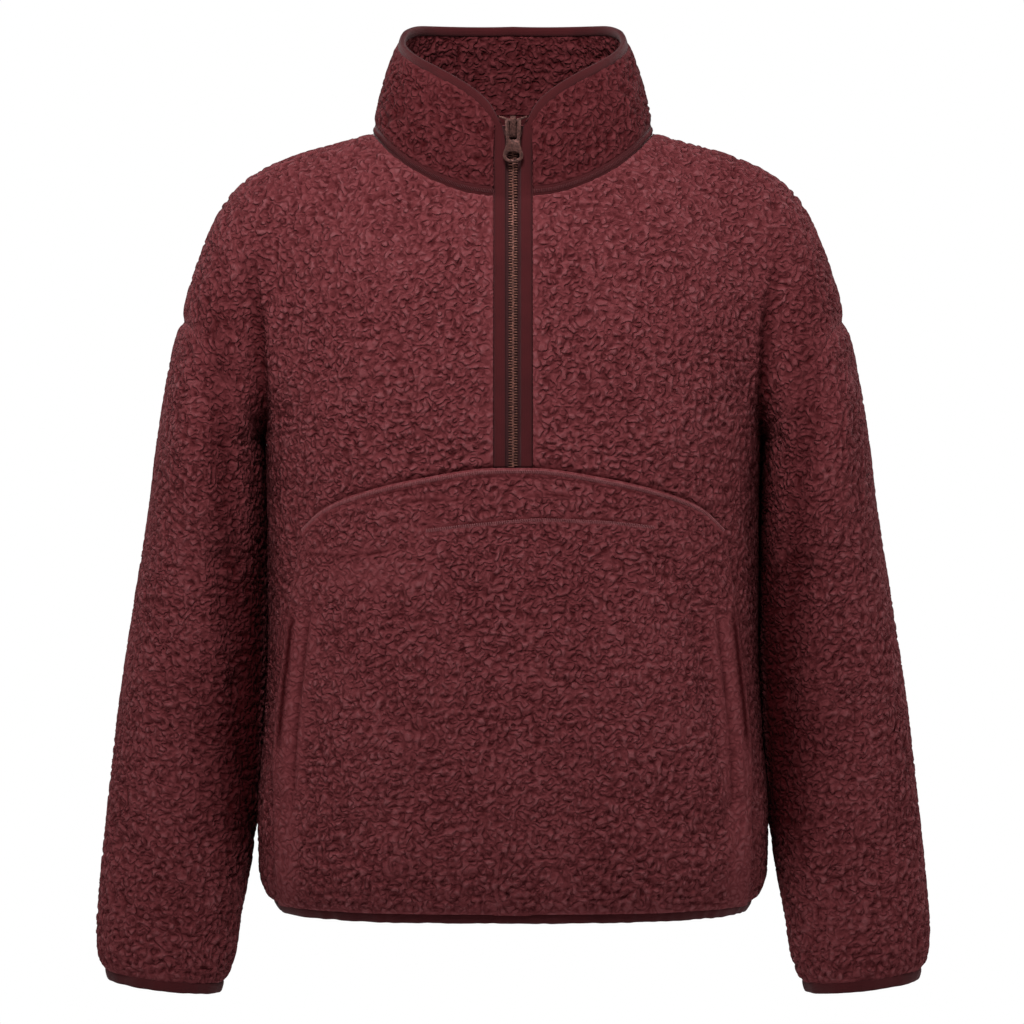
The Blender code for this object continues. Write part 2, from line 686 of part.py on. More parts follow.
def make_hem_binding():
    """Binding all round the hem, drawn in a little below the fleece."""
    rings = []
    for level in (HEM_HEIGHT + BINDING_WIDTH, HEM_HEIGHT):
        drawn_in = faired(TORSO, 1, level) / faired(TORSO, 1, BODY_BOTTOM)
        halves = []
        for side in (1, -1):
            places = half_panel_places(side)[:1] * np.array([drawn_in, 1.0])
            places[..., 1] = level
            points, normals = both_halves(body_squared, places, side)
            halves.append((points[0, ::side], normals[0, ::side]))
        (front, front_normal), (back, back_normal) = halves
        rings.append((np.concatenate([front, back[1:-1]]),
                      np.concatenate([front_normal, back_normal[1:-1]])))
    points = np.stack([ring[0] for ring in rings])
    normals = np.stack([ring[1] for ring in rings])
    thicken("hem_binding", points, normals, BINDING_INSET, BINDING_WALL, "binding_knit", ring=True)


# -------------------------------------------------------------------- collar
def neck_point(turn):
    """Point of the neck seam at a turn from centre front (0) round either side to the back (pi)."""
    sideways = np.sign(turn) * NECK_HALF_WIDTH * np.sin(np.abs(turn))
    height = neck_height(np.abs(turn))
    front = np.sqrt(np.maximum(body_squared(sideways, height, 1), 0))
    back = np.sqrt(np.maximum(body_squared(sideways, height, -1), 0))
    in_front = np.abs(turn) < math.pi / 2
    y = side_plane(sideways, height) + np.where(in_front, -front, back)
    return np.stack([sideways, y, height], axis=-1)


def collar_top_point(turn):
    """Point of the collar's free edge at a turn."""
    x = COLLAR_TOP_HALF_WIDTH * np.sin(turn)
    y = COLLAR_TOP_CENTRE_Y - COLLAR_TOP_HALF_DEPTH * np.cos(turn)
    z = faired(COLLAR_TOP, 1, np.degrees(np.abs(turn)))
    return np.stack([x, y, z], axis=-1)


def collar_turns():
    """Turns of the collar's columns, from the zip on one side round the back to the other.

    They are the turns where the body's rows meet the neck seam.
    """
    half = np.concatenate([neck_turns(1), neck_turns(-1)[-2::-1]])
    return np.concatenate([half, 2 * math.pi - half[::-1]])


def collar_grid(low, high, rows):
    """Collar points between two heights; low and high give millimetres up from the neck seam."""
    turns = collar_turns()
    signed = np.where(turns > math.pi, turns - 2 * math.pi, turns)
    base = neck_point(signed)
    top = collar_top_point(signed)
    for point in (base, top):
        point[0, 0] = CENTRE_HALF_WIDTH
        point[-1, 0] = -CENTRE_HALF_WIDTH
    height = np.linalg.norm(top - base, axis=1)
    start = low(signed, height) / height
    end = high(signed, height) / height
    share = np.linspace(0, 1, rows + 1)[:, None]
    w = start * (1 - share) + end * share
    bulge = 2.5 * np.sin(np.clip(w, 0, 1) * math.pi)
    points = base + (top - base) * w[..., None]
    around = np.gradient(base + top, axis=0)
    normal = np.cross(around, top - base)
    normal[[0, -1], 0] = 0.0
    normal = normal / np.linalg.norm(normal, axis=1, keepdims=True)
    normals = np.repeat(normal[None], rows + 1, axis=0)
    return points + normals * bulge[..., None], normals


def up_the_collar(width, turn):
    """How far up the collar a strip along its edge reaches, so that it is even across its own run."""
    step = 0.01
    rise = collar_top_point(np.abs(turn) + step) - collar_top_point(np.abs(turn))
    level = np.hypot(rise[..., 0], rise[..., 1])
    slope = np.minimum(rise[..., 2] / level, 1.4)
    return width * np.sqrt(1 + slope ** 2)


def make_collar():
    """Stand collar, the dark tape over its seam, and the binding on its free edge."""
    band_top = SEAM_GAP + NECK_BAND_WIDTH

    def at(value):
        return lambda turn, height: np.full(len(turn), float(value))

    def below_rim(gap):
        return lambda turn, height: height - up_the_collar(COLLAR_BINDING_WIDTH + gap, turn)

    points, normals = collar_grid(at(SEAM_GAP), at(band_top), 1)
    thicken("neck_tape", points, normals, 1.2, 2.6, "binding_knit")
    points, normals = collar_grid(at(band_top + 3 * SEAM_GAP), below_rim(1.5 * SEAM_GAP), 4)
    thicken("collar", points, normals, 0, COLLAR_WALL, "sherpa")
    points, normals = collar_grid(below_rim(0), lambda turn, height: height, 1)
    thicken("collar_binding", points, normals, BINDING_INSET, 3.2, "binding_knit")


# ----------------------------------------------------------------------- zip
def centre_front(z):
    """y of the cloth beside the zip, over body and collar."""
    z = np.asarray(z, float)
    on_body = np.minimum(z, -NECK_DROP_FRONT)
    x = np.full(z.shape, CENTRE_HALF_WIDTH)
    body = side_plane(x, on_body) - np.sqrt(body_squared(x, on_body, 1))
    top = COLLAR_TOP_CENTRE_Y - COLLAR_TOP_HALF_DEPTH
    share = np.clip((z + NECK_DROP_FRONT) / (NECK_DROP_FRONT + 8.0), 0, 1)
    return body * (1 - share) + top * share


def zip_grid(xs, top):
    """Points of a strip along the zip at the given x, with its top end at heights top."""
    body = np.linspace(ZIP_BOTTOM, -NECK_DROP_FRONT, 10)[:, None]
    share = np.linspace(0, 1, 4)[1:, None]
    z = np.concatenate([np.repeat(body, len(xs), axis=1),
                        -NECK_DROP_FRONT + (np.asarray(top, float) + NECK_DROP_FRONT) * share])
    x = np.repeat(np.asarray(xs, float)[None], len(z), axis=0)
    y = centre_front(z)
    slope = (centre_front(z + 2.0) - centre_front(z - 2.0)) / 4.0
    normals = np.stack([np.zeros_like(z), -np.ones_like(z), slope], axis=-1)
    normals = normals / np.linalg.norm(normals, axis=-1, keepdims=True)
    return np.stack([x, y, z], axis=-1), normals


def make_zip():
    """Bound edges of the slit, the zip's tape behind them and its closed chain between them."""
    edge = np.linspace(ZIP_BINDING_INNER, ZIP_BINDING_OUTER, 3)
    edge_top = collar_top_point(np.arcsin(edge / COLLAR_TOP_HALF_WIDTH))[:, 2]
    for word, hand in (("left", 1), ("right", -1)):
        points, normals = zip_grid(edge * hand, edge_top)
        thicken("zip_binding_" + word, points, normals, 1.2, 2.6, "binding_knit")
    tape = np.array([-ZIP_TAPE_HALF_WIDTH, ZIP_TAPE_HALF_WIDTH])
    points, normals = zip_grid(tape, (-2.0, -2.0))
    thicken("zip_tape", points, normals, 4.2, 0.8, "zip_tape")
    chain = np.array([-ZIP_CHAIN_HALF_WIDTH, ZIP_CHAIN_HALF_WIDTH])
    chain_top = SLIDER_TOP - SLIDER_LENGTH - SEAM_GAP
    points, normals = zip_grid(chain, (chain_top, chain_top))
    thicken("zip_teeth", points, normals, 1.7, 2.2, "antique_brass")


def extruded(outline, low, high, axis):
    """A prism: an outline of (y, z) or (x, z) pairs, drawn out from low to high along x or y."""
    order = {"x": lambda a, b, c: (c, a, b), "y": lambda a, b, c: (a, c, b)}[axis]
    count = len(outline)
    vertices = [order(a, b, low) for a, b in outline] + [order(a, b, high) for a, b in outline]
    faces = [tuple(range(count)), tuple(range(2 * count - 1, count - 1, -1))]
    for i in range(count):
        after = (i + 1) % count
        faces.append((i, after, after + count, i + count))
    return vertices, faces


def cut_or_join(target, tool, operation):
    """Apply a Boolean of tool to target, and remove tool."""
    modifier = target.modifiers.new("shape", "BOOLEAN")
    modifier.operation = operation
    modifier.object = tool
    graph = bpy.context.evaluated_depsgraph_get()
    result = bpy.data.meshes.new_from_object(target.evaluated_get(graph))
    target.modifiers.clear()
    old = target.data
    target.data = result
    bpy.data.meshes.remove(old)
    bpy.data.objects.remove(tool)


def mirrored(half):
    """The whole outline of a piece from its right half, which ends on the middle line."""
    left = [(-x, z) for x, z in reversed(half[:-1]) if x > 0]
    return list(half) + left


def shade_hard(piece):
    """Shade a metal piece smooth between its sharp edges."""
    piece.data.shade_smooth()
    piece.data.set_sharp_from_angle(angle=math.radians(40))


def slider_plate_front():
    """y of the front of the slider's plate."""
    face = float(centre_front(SLIDER_TOP - SLIDER_LENGTH / 2))
    return face - SLIDER_STANDOFF - SLIDER_PLATE


def make_slider():
    """Slider: a plate with flared shoulders, its core, and the bail that carries the pull tab."""
    front = slider_plate_front()
    behind = front + SLIDER_PLATE
    plate = [(x, SLIDER_TOP + z) for x, z in mirrored(SLIDER_PLATE_OUTLINE)]
    vertices, faces = extruded(plate, front, behind, "y")
    slider = add_solid("zip_slider", vertices, faces, "aged_bronze")
    core = [(x, SLIDER_TOP + z) for x, z in SLIDER_CORE_OUTLINE]
    vertices, faces = extruded(core, behind - SEAM_GAP, behind + SLIDER_STANDOFF + SLIDER_BACK, "y")
    cut_or_join(slider, add_solid("core", vertices, faces, "aged_bronze"), "UNION")
    bail = [(front - forward, SLIDER_TOP + z) for forward, z in BAIL_OUTLINE]
    vertices, faces = extruded(bail, -BAIL_HALF_WIDTH, BAIL_HALF_WIDTH, "x")
    cut_or_join(slider, add_solid("bail", vertices, faces, "aged_bronze"), "UNION")
    shade_hard(slider)


def make_pull_tab():
    """Pull tab: a slotted plate with a finger hole, hung by its top bar inside the bail."""
    vertices, faces = extruded(mirrored(PULL_OUTLINE), -PULL_WALL / 2, PULL_WALL / 2, "y")
    tab = add_solid("zip_pull_tab", vertices, faces, "aged_bronze")
    turns = [math.tau * i / PULL_EYE_SIDES for i in range(PULL_EYE_SIDES)]
    eye = [(PULL_EYE_HALF_WIDTH * math.cos(turn), PULL_EYE_HALF_HEIGHT * math.sin(turn) - PULL_EYE_DROP)
           for turn in turns]
    for name, outline in (("slot", PULL_SLOT_OUTLINE), ("eye", eye)):
        vertices, faces = extruded(outline, -CUT_REACH, CUT_REACH, "y")
        cut_or_join(tab, add_solid(name, vertices, faces, "aged_bronze"), "DIFFERENCE")
    axis_y = slider_plate_front() - PULL_BAR_FORWARD
    tab.location = (0, axis_y * MM, (SLIDER_TOP - PULL_BAR_DROP) * MM)
    shade_hard(tab)


# -------------------------------------------------------------------- pocket
def make_pocket():
    """Pouch pocket made from the front's own points, moved out: open side edges, sewn in at top and hem."""
    places = half_panel_places(1)[:POCKET_ROWS + 1, :POCKET_COLUMNS + 1]
    points, normals = both_halves(body_squared, places, 1)
    up = np.linspace(0, 1, POCKET_ROWS + 1)[:, None, None]
    lift = SEAM_GAP + POCKET_SLACK * np.sin(math.pi * up)
    wall = POCKET_WALL_AT_HEM + (POCKET_WALL - POCKET_WALL_AT_HEM) * eased(up * POCKET_ROWS)
    thicken("pocket", points, normals, -(lift + wall), wall, "sherpa")


def clear_scene():
    """Remove the objects that a new file holds."""
    for item in list(bpy.data.objects):
        bpy.data.objects.remove(item)


def main():
    clear_scene()
    make_front()
    make_back()
    make_sleeves()
    make_hem_binding()
    make_collar()
    make_zip()
    make_pocket()
    make_slider()
    make_pull_tab()


main()
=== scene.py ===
# %% [markdown]
# # A half-zip pullover in sherpa fleece
#
# This file dresses the plain solids of a half-zip pullover. The solids give the
# size and the place of every piece. Here each piece gets its real surface: a
# curly pile, smooth knit bindings, a metal zip, a slider and a pull tab, and the
# stitching. The garment is filled out as it is on a wearer, with nobody in it.
#
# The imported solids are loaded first, as a fixed frame that nothing here moves.

# %% Load the frame
import math

import bpy
import numpy as np
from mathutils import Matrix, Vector


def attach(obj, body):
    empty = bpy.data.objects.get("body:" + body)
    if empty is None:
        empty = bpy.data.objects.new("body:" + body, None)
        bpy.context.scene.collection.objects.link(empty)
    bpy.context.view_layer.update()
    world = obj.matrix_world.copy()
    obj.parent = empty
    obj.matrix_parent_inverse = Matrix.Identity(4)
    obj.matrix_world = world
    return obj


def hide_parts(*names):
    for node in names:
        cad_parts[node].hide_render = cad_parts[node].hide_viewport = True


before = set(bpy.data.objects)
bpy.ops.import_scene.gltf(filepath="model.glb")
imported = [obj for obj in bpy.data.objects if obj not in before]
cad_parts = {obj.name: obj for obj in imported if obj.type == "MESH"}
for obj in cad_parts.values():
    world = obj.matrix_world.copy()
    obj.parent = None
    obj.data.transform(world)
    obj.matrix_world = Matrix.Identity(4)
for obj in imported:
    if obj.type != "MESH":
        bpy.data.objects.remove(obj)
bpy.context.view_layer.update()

MM = 0.001
GARMENT = "garment"
PULL_TAB = "pull_tab"

# %% [markdown]
# ## Camera
#
# A long lens from three metres away, level with the middle of the garment. Near and
# far parts keep nearly the same scale, as in a catalogue picture.

# %% Camera
CAMERA_DISTANCE = 3.0
CAMERA_HEIGHT = -0.303
CAMERA_SIDE = -0.0008
LENS_LENGTH = 132.0        # mm
SENSOR_WIDTH = 36.0
camera_lens = bpy.data.cameras.new("camera")
camera_lens.lens = LENS_LENGTH
camera_lens.sensor_width = SENSOR_WIDTH
camera = bpy.data.objects.new("camera", camera_lens)
camera.location = (CAMERA_SIDE, -CAMERA_DISTANCE, CAMERA_HEIGHT)
camera.rotation_euler = (math.radians(90), 0, 0)
bpy.context.scene.collection.objects.link(camera)
bpy.context.scene.camera = camera
print("camera", tuple(round(c, 3) for c in camera.location), "lens", camera_lens.lens)

# %% [markdown]
# ## Shader nodes
#
# A finish is a tree of shader nodes. These helpers add a node and link it in one
# line, so that a finish reads from top to bottom. Nodes could also be laid out in
# the editor, but then nobody could read how they were made.

# %% Node helpers
def add_node(tree, kind, inputs=None, **settings):
    """Add a node, set its settings, and set or link its inputs."""
    node = tree.nodes.new(kind)
    for key, value in settings.items():
        setattr(node, key, value)
    for key, value in (inputs or {}).items():
        socket = node.inputs[key]
        if isinstance(value, bpy.types.NodeSocket):
            tree.links.new(value, socket)
        else:
            socket.default_value = value
    return node


def calc(tree, operation, first, second=0.0, third=0.0):
    """One step of arithmetic, as a node's output."""
    return add_node(tree, "ShaderNodeMath", {0: first, 1: second, 2: third}, operation=operation).outputs[0]


def ramp(tree, value, low, high, to_low=0.0, to_high=1.0):
    """Read a value between two limits as a smooth rise."""
    inputs = {"Value": value, "From Min": low, "From Max": high, "To Min": to_low, "To Max": to_high}
    return add_node(tree, "ShaderNodeMapRange", inputs, interpolation_type="SMOOTHSTEP").outputs[0]


def noise(tree, place, scale, detail, output=0):
    """A noise texture read at a place; output 0 is its value."""
    inputs = {"Vector": place, "Scale": scale, "Detail": detail}
    return add_node(tree, "ShaderNodeTexNoise", inputs).outputs[output]


def kept_number(tree, name):
    """A number that the mesh keeps for each point."""
    return add_node(tree, "ShaderNodeAttribute", attribute_name=name).outputs["Fac"]


def own_place(tree):
    """Place on the object, in metres."""
    return add_node(tree, "ShaderNodeTexCoord").outputs["Object"]


def bumped(tree, shader, height, strength, distance):
    """Let a height tilt the shader's surface; distance is the height of 1, in metres."""
    inputs = {"Height": height, "Strength": strength, "Distance": distance}
    tree.links.new(add_node(tree, "ShaderNodeBump", inputs).outputs[0], shader.inputs["Normal"])


def new_group(name, inputs, outputs):
    """A shader node group with named sockets: name, kind, starting value."""
    group = bpy.data.node_groups.new(name, "ShaderNodeTree")
    for socket_name, kind, value in inputs:
        socket = group.interface.new_socket(socket_name, in_out="INPUT", socket_type=kind)
        if value is not None:
            socket.default_value = value
    for socket_name, kind in outputs:
        group.interface.new_socket(socket_name, in_out="OUTPUT", socket_type=kind)
    return group, group.nodes.new("NodeGroupInput").outputs, group.nodes.new("NodeGroupOutput").inputs


def placed_group(tree, group, inputs):
    """Place a node group in a material, with its own values."""
    return add_node(tree, "ShaderNodeGroup", inputs, node_tree=group).outputs


def new_finish(name, roughness, metallic=0.0, sheen=0.0):
    """A material with its Principled shader, constants set on the shader itself."""
    material = bpy.data.materials.new(name)
    material.use_nodes = True
    shader = material.node_tree.nodes["Principled BSDF"]
    shader.inputs["Roughness"].default_value = roughness
    shader.inputs["Metallic"].default_value = metallic
    if sheen:
        shader.inputs["Sheen Weight"].default_value = sheen
        shader.inputs["Sheen Roughness"].default_value = 0.6
        shader.inputs["Specular IOR Level"].default_value = 0.1
    return material, material.node_tree, shader


# %% [markdown]
# ## Floor and light
#
# The garment hangs in the air as if worn, so the floor lies where a wearer would
# stand. It fades into the white of the surroundings, so no horizon shows. A soft
# box close above the chest is the main light: it draws every curl with a light top
# and a dark foot, and it fades towards the hem. Two weaker ones at the sides catch
# the rims of the sleeves, and two behind serve the views from behind. The white
# that the camera sees is brighter than the light that the surroundings give the
# cloth, because dark cloth looks flat when white lights it evenly.

# %% Floor and light
FLOOR_HEIGHT = -1.35
FLOOR_HALF_WIDTH = 7.0
FLOOR_FADE = (1.0, 2.6)
SURROUND_LIGHT = 0.08

# name, place, aimed at, size in metres, power in watts
SOFT_BOXES = (
    ("top_light", (-0.15, -0.96, 0.76), (0, 0, -0.2), 0.43, 29.5),
    ("side_light_left", (-2.2, -0.25, 0.5), (0, 0, -0.35), 0.9, 17.0),
    ("side_light_right", (2.2, -0.35, 0.5), (0, 0, -0.35), 0.9, 24.0),
    ("back_light_left", (-1.7, 1.9, 1.1), (0, 0, -0.25), 1.1, 50.0),
    ("back_light_right", (1.7, 1.9, 1.1), (0, 0, -0.25), 1.1, 50.0),
)


def soft_box(name, place, target, size, power):
    """A square area light that faces its target."""
    lamp = bpy.data.lights.new(name, "AREA")
    lamp.energy = power
    lamp.size = size
    light = bpy.data.objects.new(name, lamp)
    light.location = place
    light.rotation_euler = (Vector(target) - Vector(place)).to_track_quat("-Z", "Y").to_euler()
    bpy.context.scene.collection.objects.link(light)


for row in SOFT_BOXES:
    soft_box(*row)

world = bpy.data.worlds.new("studio")
bpy.context.scene.world = world
world.use_nodes = True
surround = world.node_tree.nodes["Background"]
surround.inputs["Color"].default_value = (1, 1, 1, 1)
seen = add_node(world.node_tree, "ShaderNodeLightPath").outputs["Is Camera Ray"]
strength = add_node(world.node_tree, "ShaderNodeMapRange",
                    {"Value": seen, "To Min": SURROUND_LIGHT, "To Max": 1.0}).outputs["Result"]
world.node_tree.links.new(strength, surround.inputs["Strength"])
bpy.context.scene.view_settings.view_transform = "Standard"


def nothing_selected():
    """Operators act on what is selected, so each step starts from nothing."""
    for item in bpy.context.selected_objects:
        item.select_set(False)


nothing_selected()
bpy.ops.mesh.primitive_plane_add(size=2 * FLOOR_HALF_WIDTH, location=(0, 0, FLOOR_HEIGHT))
floor = bpy.context.object
floor.name = "floor"
bpy.ops.object.transform_apply(location=True, rotation=True, scale=True)
pale, pale_tree, paint = new_finish("pale_floor", 0.9)
paint.inputs["Base Color"].default_value = (0.9, 0.9, 0.9, 1)
away = add_node(pale_tree, "ShaderNodeVectorMath", {0: own_place(pale_tree), 1: (0, 0, FLOOR_HEIGHT)},
                operation="DISTANCE").outputs["Value"]
fade_limits = {"Value": away, "From Min": FLOOR_FADE[0], "From Max": FLOOR_FADE[1]}
fade = add_node(pale_tree, "ShaderNodeMapRange", fade_limits).outputs["Result"]
glow = add_node(pale_tree, "ShaderNodeEmission")
blend = add_node(pale_tree, "ShaderNodeMixShader", {0: fade, 1: paint.outputs[0], 2: glow.outputs[0]})
pale_tree.links.new(blend.outputs[0], pale_tree.nodes["Material Output"].inputs["Surface"])
floor.data.materials.append(pale)
print("floor", -FLOOR_HEIGHT, "m below the neck")

# %% [markdown]
# ## The form of the garment
#
# A cutter thinks of a garment from the front: every point of the cloth has a
# place (x, z) in the front view, and a half depth there, in front of or behind the
# plane of the side seams. The tables below give the outline, the sections of torso
# and arm, and the seams, in millimetres. They are the same as the solids have, so
# the dressed cloth lies where the solids lie. A scan or a cloth simulation would
# also give a form, but seams would then have to be found on it afterwards, and
# here each seam is an edge of the grid from the start.

# %% Sizes and tables
FLEECE_WALL = 4.0          # sherpa, base knit and both piles
COLLAR_WALL = 5.0          # two layers of fleece, compressed
SEAM_GAP = 0.3             # clear space between two sewn solids
SEAM_LAP = 0.5             # how far sewn cloth reaches into the seam
HEM_HEIGHT = -621.0
BINDING_WIDTH = 8.0
BINDING_WALL = 2.4
BINDING_INSET = 0.9        # how far the smooth binding lies below the pile
UNDERARM_HEIGHT = -245.0
SHOULDER_TIP_HEIGHT = -150.0
SHOULDER_TIP_HALF_WIDTH = 264.5
SHOULDER_RADIUS = 48.0     # rounding of the shoulder across its ridge
ARCH_HEIGHT = 62.0         # height over which the arch above the underarm opens
ARCH_DEPTH = 0.8           # share of the arm's depth that it reaches
CREASE_SOFTNESS = 46.0     # rounding of the crease between torso and arm

NECK_HALF_WIDTH = 112.0
NECK_DROP_FRONT = 58.0
NECK_RISE_BACK = 15.0
NECK_BAND_WIDTH = 5.5
COLLAR_TOP_HALF_WIDTH = 90.0
COLLAR_TOP_HALF_DEPTH = 72.0
COLLAR_TOP_CENTRE_Y = -8.0

ZIP_BOTTOM = -268.9
CENTRE_HALF_WIDTH = 15.3   # half the slit
ZIP_BINDING_INNER = 5.8
ZIP_TAPE_HALF_WIDTH = 13.0

POCKET_WALL = 4.0
POCKET_WALL_AT_HEM = 2.2
POCKET_SLACK = 2.2

BODY_BOTTOM = HEM_HEIGHT + BINDING_WIDTH + SEAM_GAP

# Outline of the right half in the front view, over the shoulder and down the
# sleeve: x, z
OUTLINE = (
    (0, 52), (60, 24), (112, 0), (180, -20), (207, -33), (222, -45), (234, -61), (246, -86),
    (256, -114), (262.5, -136), (SHOULDER_TIP_HALF_WIDTH, SHOULDER_TIP_HEIGHT), (268.5, -159),
    (276, -191), (286, -254), (291, -296), (306, -390), (317, -466), (325, -540),
    (331, -600), (333.5, -638), (332, -657), (327, -670), (323.5, -680),
)

# Torso sections: height, half width, depth in front, depth behind, squareness
TORSO = (
    (40, 95, 46, 66, 2.3),
    (0, 105, 56, 77, 2.4),
    (-26, 122, 67, 87, 2.5),
    (-45, 148, 77, 94, 2.5),
    (-70, 186, 88, 101, 2.6),
    (-100, 204, 98, 107, 2.8),
    (-150, 205, 108, 112, 3.1),
    (-200, 201, 114, 115, 3.1),
    (-245, 197.5, 117, 117, 3.0),
    (-320, 196, 119, 118, 2.8),
    (-400, 195.5, 120, 118, 2.7),
    (-480, 199, 120, 117, 2.7),
    (-545, 203.5, 118, 116, 2.7),
    (-588, 202.5, 113, 113, 2.7),
    (-606, 197, 109, 110, 2.7),
    (-615, 190, 106, 107, 2.7),
    (-625, 184, 104, 105, 2.7),
)

# Arm sections: height, x of the edge next to the torso, half depth
ARM = (
    (40, 166, 50),
    (-20, 166, 52),
    (-60, 166, 57),
    (-100, 166, 62),
    (-151, 167, 66),
    (-175, 178, 69),
    (-200, 187, 73),
    (-225, 193.8, 77),
    (UNDERARM_HEIGHT, 197.5, 79),
    (-252, 199.4, 79),
    (-262, 200.6, 78.5),
    (-300, 200.5, 76),
    (-390, 199.5, 67),
    (-474, 202.5, 60),
    (-530, 206.5, 56),
    (-573, 209, 53),
    (-600, 213.5, 51),
    (-630, 219, 48.5),
    (-657, 223, 46),
    (-672, 228, 43),
    (-690, 237, 39),
)

# Depth of the side seam plane behind the shoulder neck points: height, y
SIDE_PLANE = ((40, 6), (0, 7), (-94, 12), (-245, 17), (-400, 18), (-600, 13), (-690, 9))

# Armhole seam in the front view, from underarm to shoulder tip: height, x
ARMHOLE = (
    (UNDERARM_HEIGHT, 197.5),
    (-226, 212),
    (-197, 229),
    (-178, 243),
    (-155, 257),
    (SHOULDER_TIP_HEIGHT, SHOULDER_TIP_HALF_WIDTH),
)

# Neck seam: degrees from centre front, height
NECK_SEAM = (
    (0, -NECK_DROP_FRONT), (15, -55), (30, -46.5), (45, -34), (60, -20), (75, -7.2), (90, 0),
    (101, -3), (112, -2.4), (124, 1.5), (138, 7), (156, 12.5), (180, NECK_RISE_BACK),
)

# Free edge of the collar: degrees from centre front, height
COLLAR_TOP = (
    (0, -8), (6, -1), (8.6, 8), (14, 19.5), (24, 31.5), (37, 42.5), (65, 60.5),
    (90, 75), (105, 84), (125, 90), (180, 93),
)

# Sleeve end, lower on the inside than on the outside: x, height
CUFF_OUTER = (324.0, -677.0)
CUFF_INNER = (236.0, -687.0)

# Curved top edge of the pocket on the right half: x, z
POCKET_TOP = ((0, -269), (16, -269.3), (70, -277), (115, -287.5), (146, -300), (165, -317))

# Side edge of the pocket: height, x
POCKET_SIDE = ((-613, 184), (-518, 184), (-384, 172), (-317, 165), (-200, 165))

# Largest folds: x and z where one starts and ends, height above the cloth, half
# width, and 1 for the front, -1 for the back, 0 for both
FOLDS = (
    (-236, -205, -212, -262, -2.6, 12, 0),
    (234, -205, 210, -268, -2.2, 12, 0),
    (-262, -200, -246, -300, 3.0, 15, 0),
    (262, -205, 248, -318, 2.6, 14, 0),
    (-262, -470, -240, -560, -3.0, 13, 0),
    (268, -452, 244, -548, -3.4, 12, 0),
    (-315, -560, -262, -612, -2.4, 11, 0),
    (312, -548, 258, -600, -2.2, 12, 0),
    (112, -345, 168, -540, -3.0, 15, 1),
    (-120, -560, -62, -500, -2.6, 13, 1),
    (-172, -395, -181, -505, 2.4, 10, 1),
    (60, -110, 118, -170, 2.0, 20, 1),
    (-70, -120, -120, -185, 2.2, 20, 1),
    (-150, -120, -95, -225, -2.6, 18, -1),
    (140, -110, 92, -205, -2.4, 18, -1),
    (-110, -430, -150, -560, -2.8, 17, -1),
    (96, -400, 142, -548, -2.6, 16, -1),
)

# Smaller folds that only the dressed cloth has, in the same order
SMALL_FOLDS = (
    (-231, -340, -214, -440, -5.5, 10, 0),
    (-214, -440, -210, -510, -4.5, 9, 0),
    (-230, -195, -226, -277, -3.0, 9, 0),
    (-216, -238, -209, -329, 3.2, 8, 0),
    (-290, -250, -300, -330, 2.0, 12, 0),
    (232, -350, 215, -446, -5.0, 10, 0),
    (215, -446, 211, -512, -4.5, 9, 0),
    (231, -190, 228, -270, -2.6, 9, 0),
    (217, -246, 210, -340, 3.0, 8, 0),
    (292, -270, 304, -350, 2.0, 12, 0),
    (-186, -300, -184, -370, 2.0, 9, 1),
    (150, -560, 96, -520, -2.2, 10, 1),
    (123, -369, 157, -529, 2.4, 8, 1),
    (136, -369, 168, -529, -2.8, 7, 1),
    (-168, -200, -120, -262, 1.6, 12, 1),
    (164, -190, 112, -255, 1.6, 12, 1),
)

# The sleeve hangs down from the shoulder, so the cloth goes in between body and
# arm: x and z of that line on each half, and how deep it is there
DRAPE_LINE = ((210, -96, 0.0), (203, -122, 2.5), (198, -150, 6.0), (196, -190, 10.0), (196.5, -238, 13.0))
DRAPE_TO_BODY = 3.6          # how far it reaches towards the body
DRAPE_TO_ARM = 15.0          # and towards the arm

# Between these heights the hanging sleeve rests against the body
REST_TOP = -247.0
REST_BOTTOM = -553.0
REST_CLEARANCE = 1.0         # between the skins; only the tips of the curls meet

# Painted shade: where cloth lies against cloth little light gets into the pile, so
# the pile's colour is painted darker there. The main line of painted shade runs
# between body and arm, and a weaker one down the inside of the sleeve: x and z
# along it, how dark the painted shade is, and how far that reaches towards the arm
MAIN_PAINTED_SHADE = (
    (210, -96, 0.0, 8), (203, -122, 0.35, 8), (198, -150, 0.6, 8), (196, -190, 0.7, 9),
    (197, -240, 0.85, 9), (199, -330, 0.85, 13), (202, -400, 0.95, 27), (205, -480, 1.0, 36),
    (208, -545, 0.95, 29), (212, -600, 0.4, 17), (218, -640, 0.0, 11),
)
SLEEVE_PAINTED_SHADE = (
    (240, -96, 0.0, 12), (232, -150, 0.30, 14), (228, -230, 0.40, 11), (226, -300, 0.50, 11),
    (222, -350, 0.65, 13), (214, -420, 0.8, 18),
)
PAINTED_SHADE_TO_BODY = 3.0         # how far the main painted shade reaches towards the body
print("tables:", len(OUTLINE), "outline points,", len(TORSO), "torso and", len(ARM), "arm sections")

# %% [markdown]
# A table has only a few rows, and a fair curve runs through them. The curve used
# here never swings past a row's value, so a seam gets no wave that nobody drew.

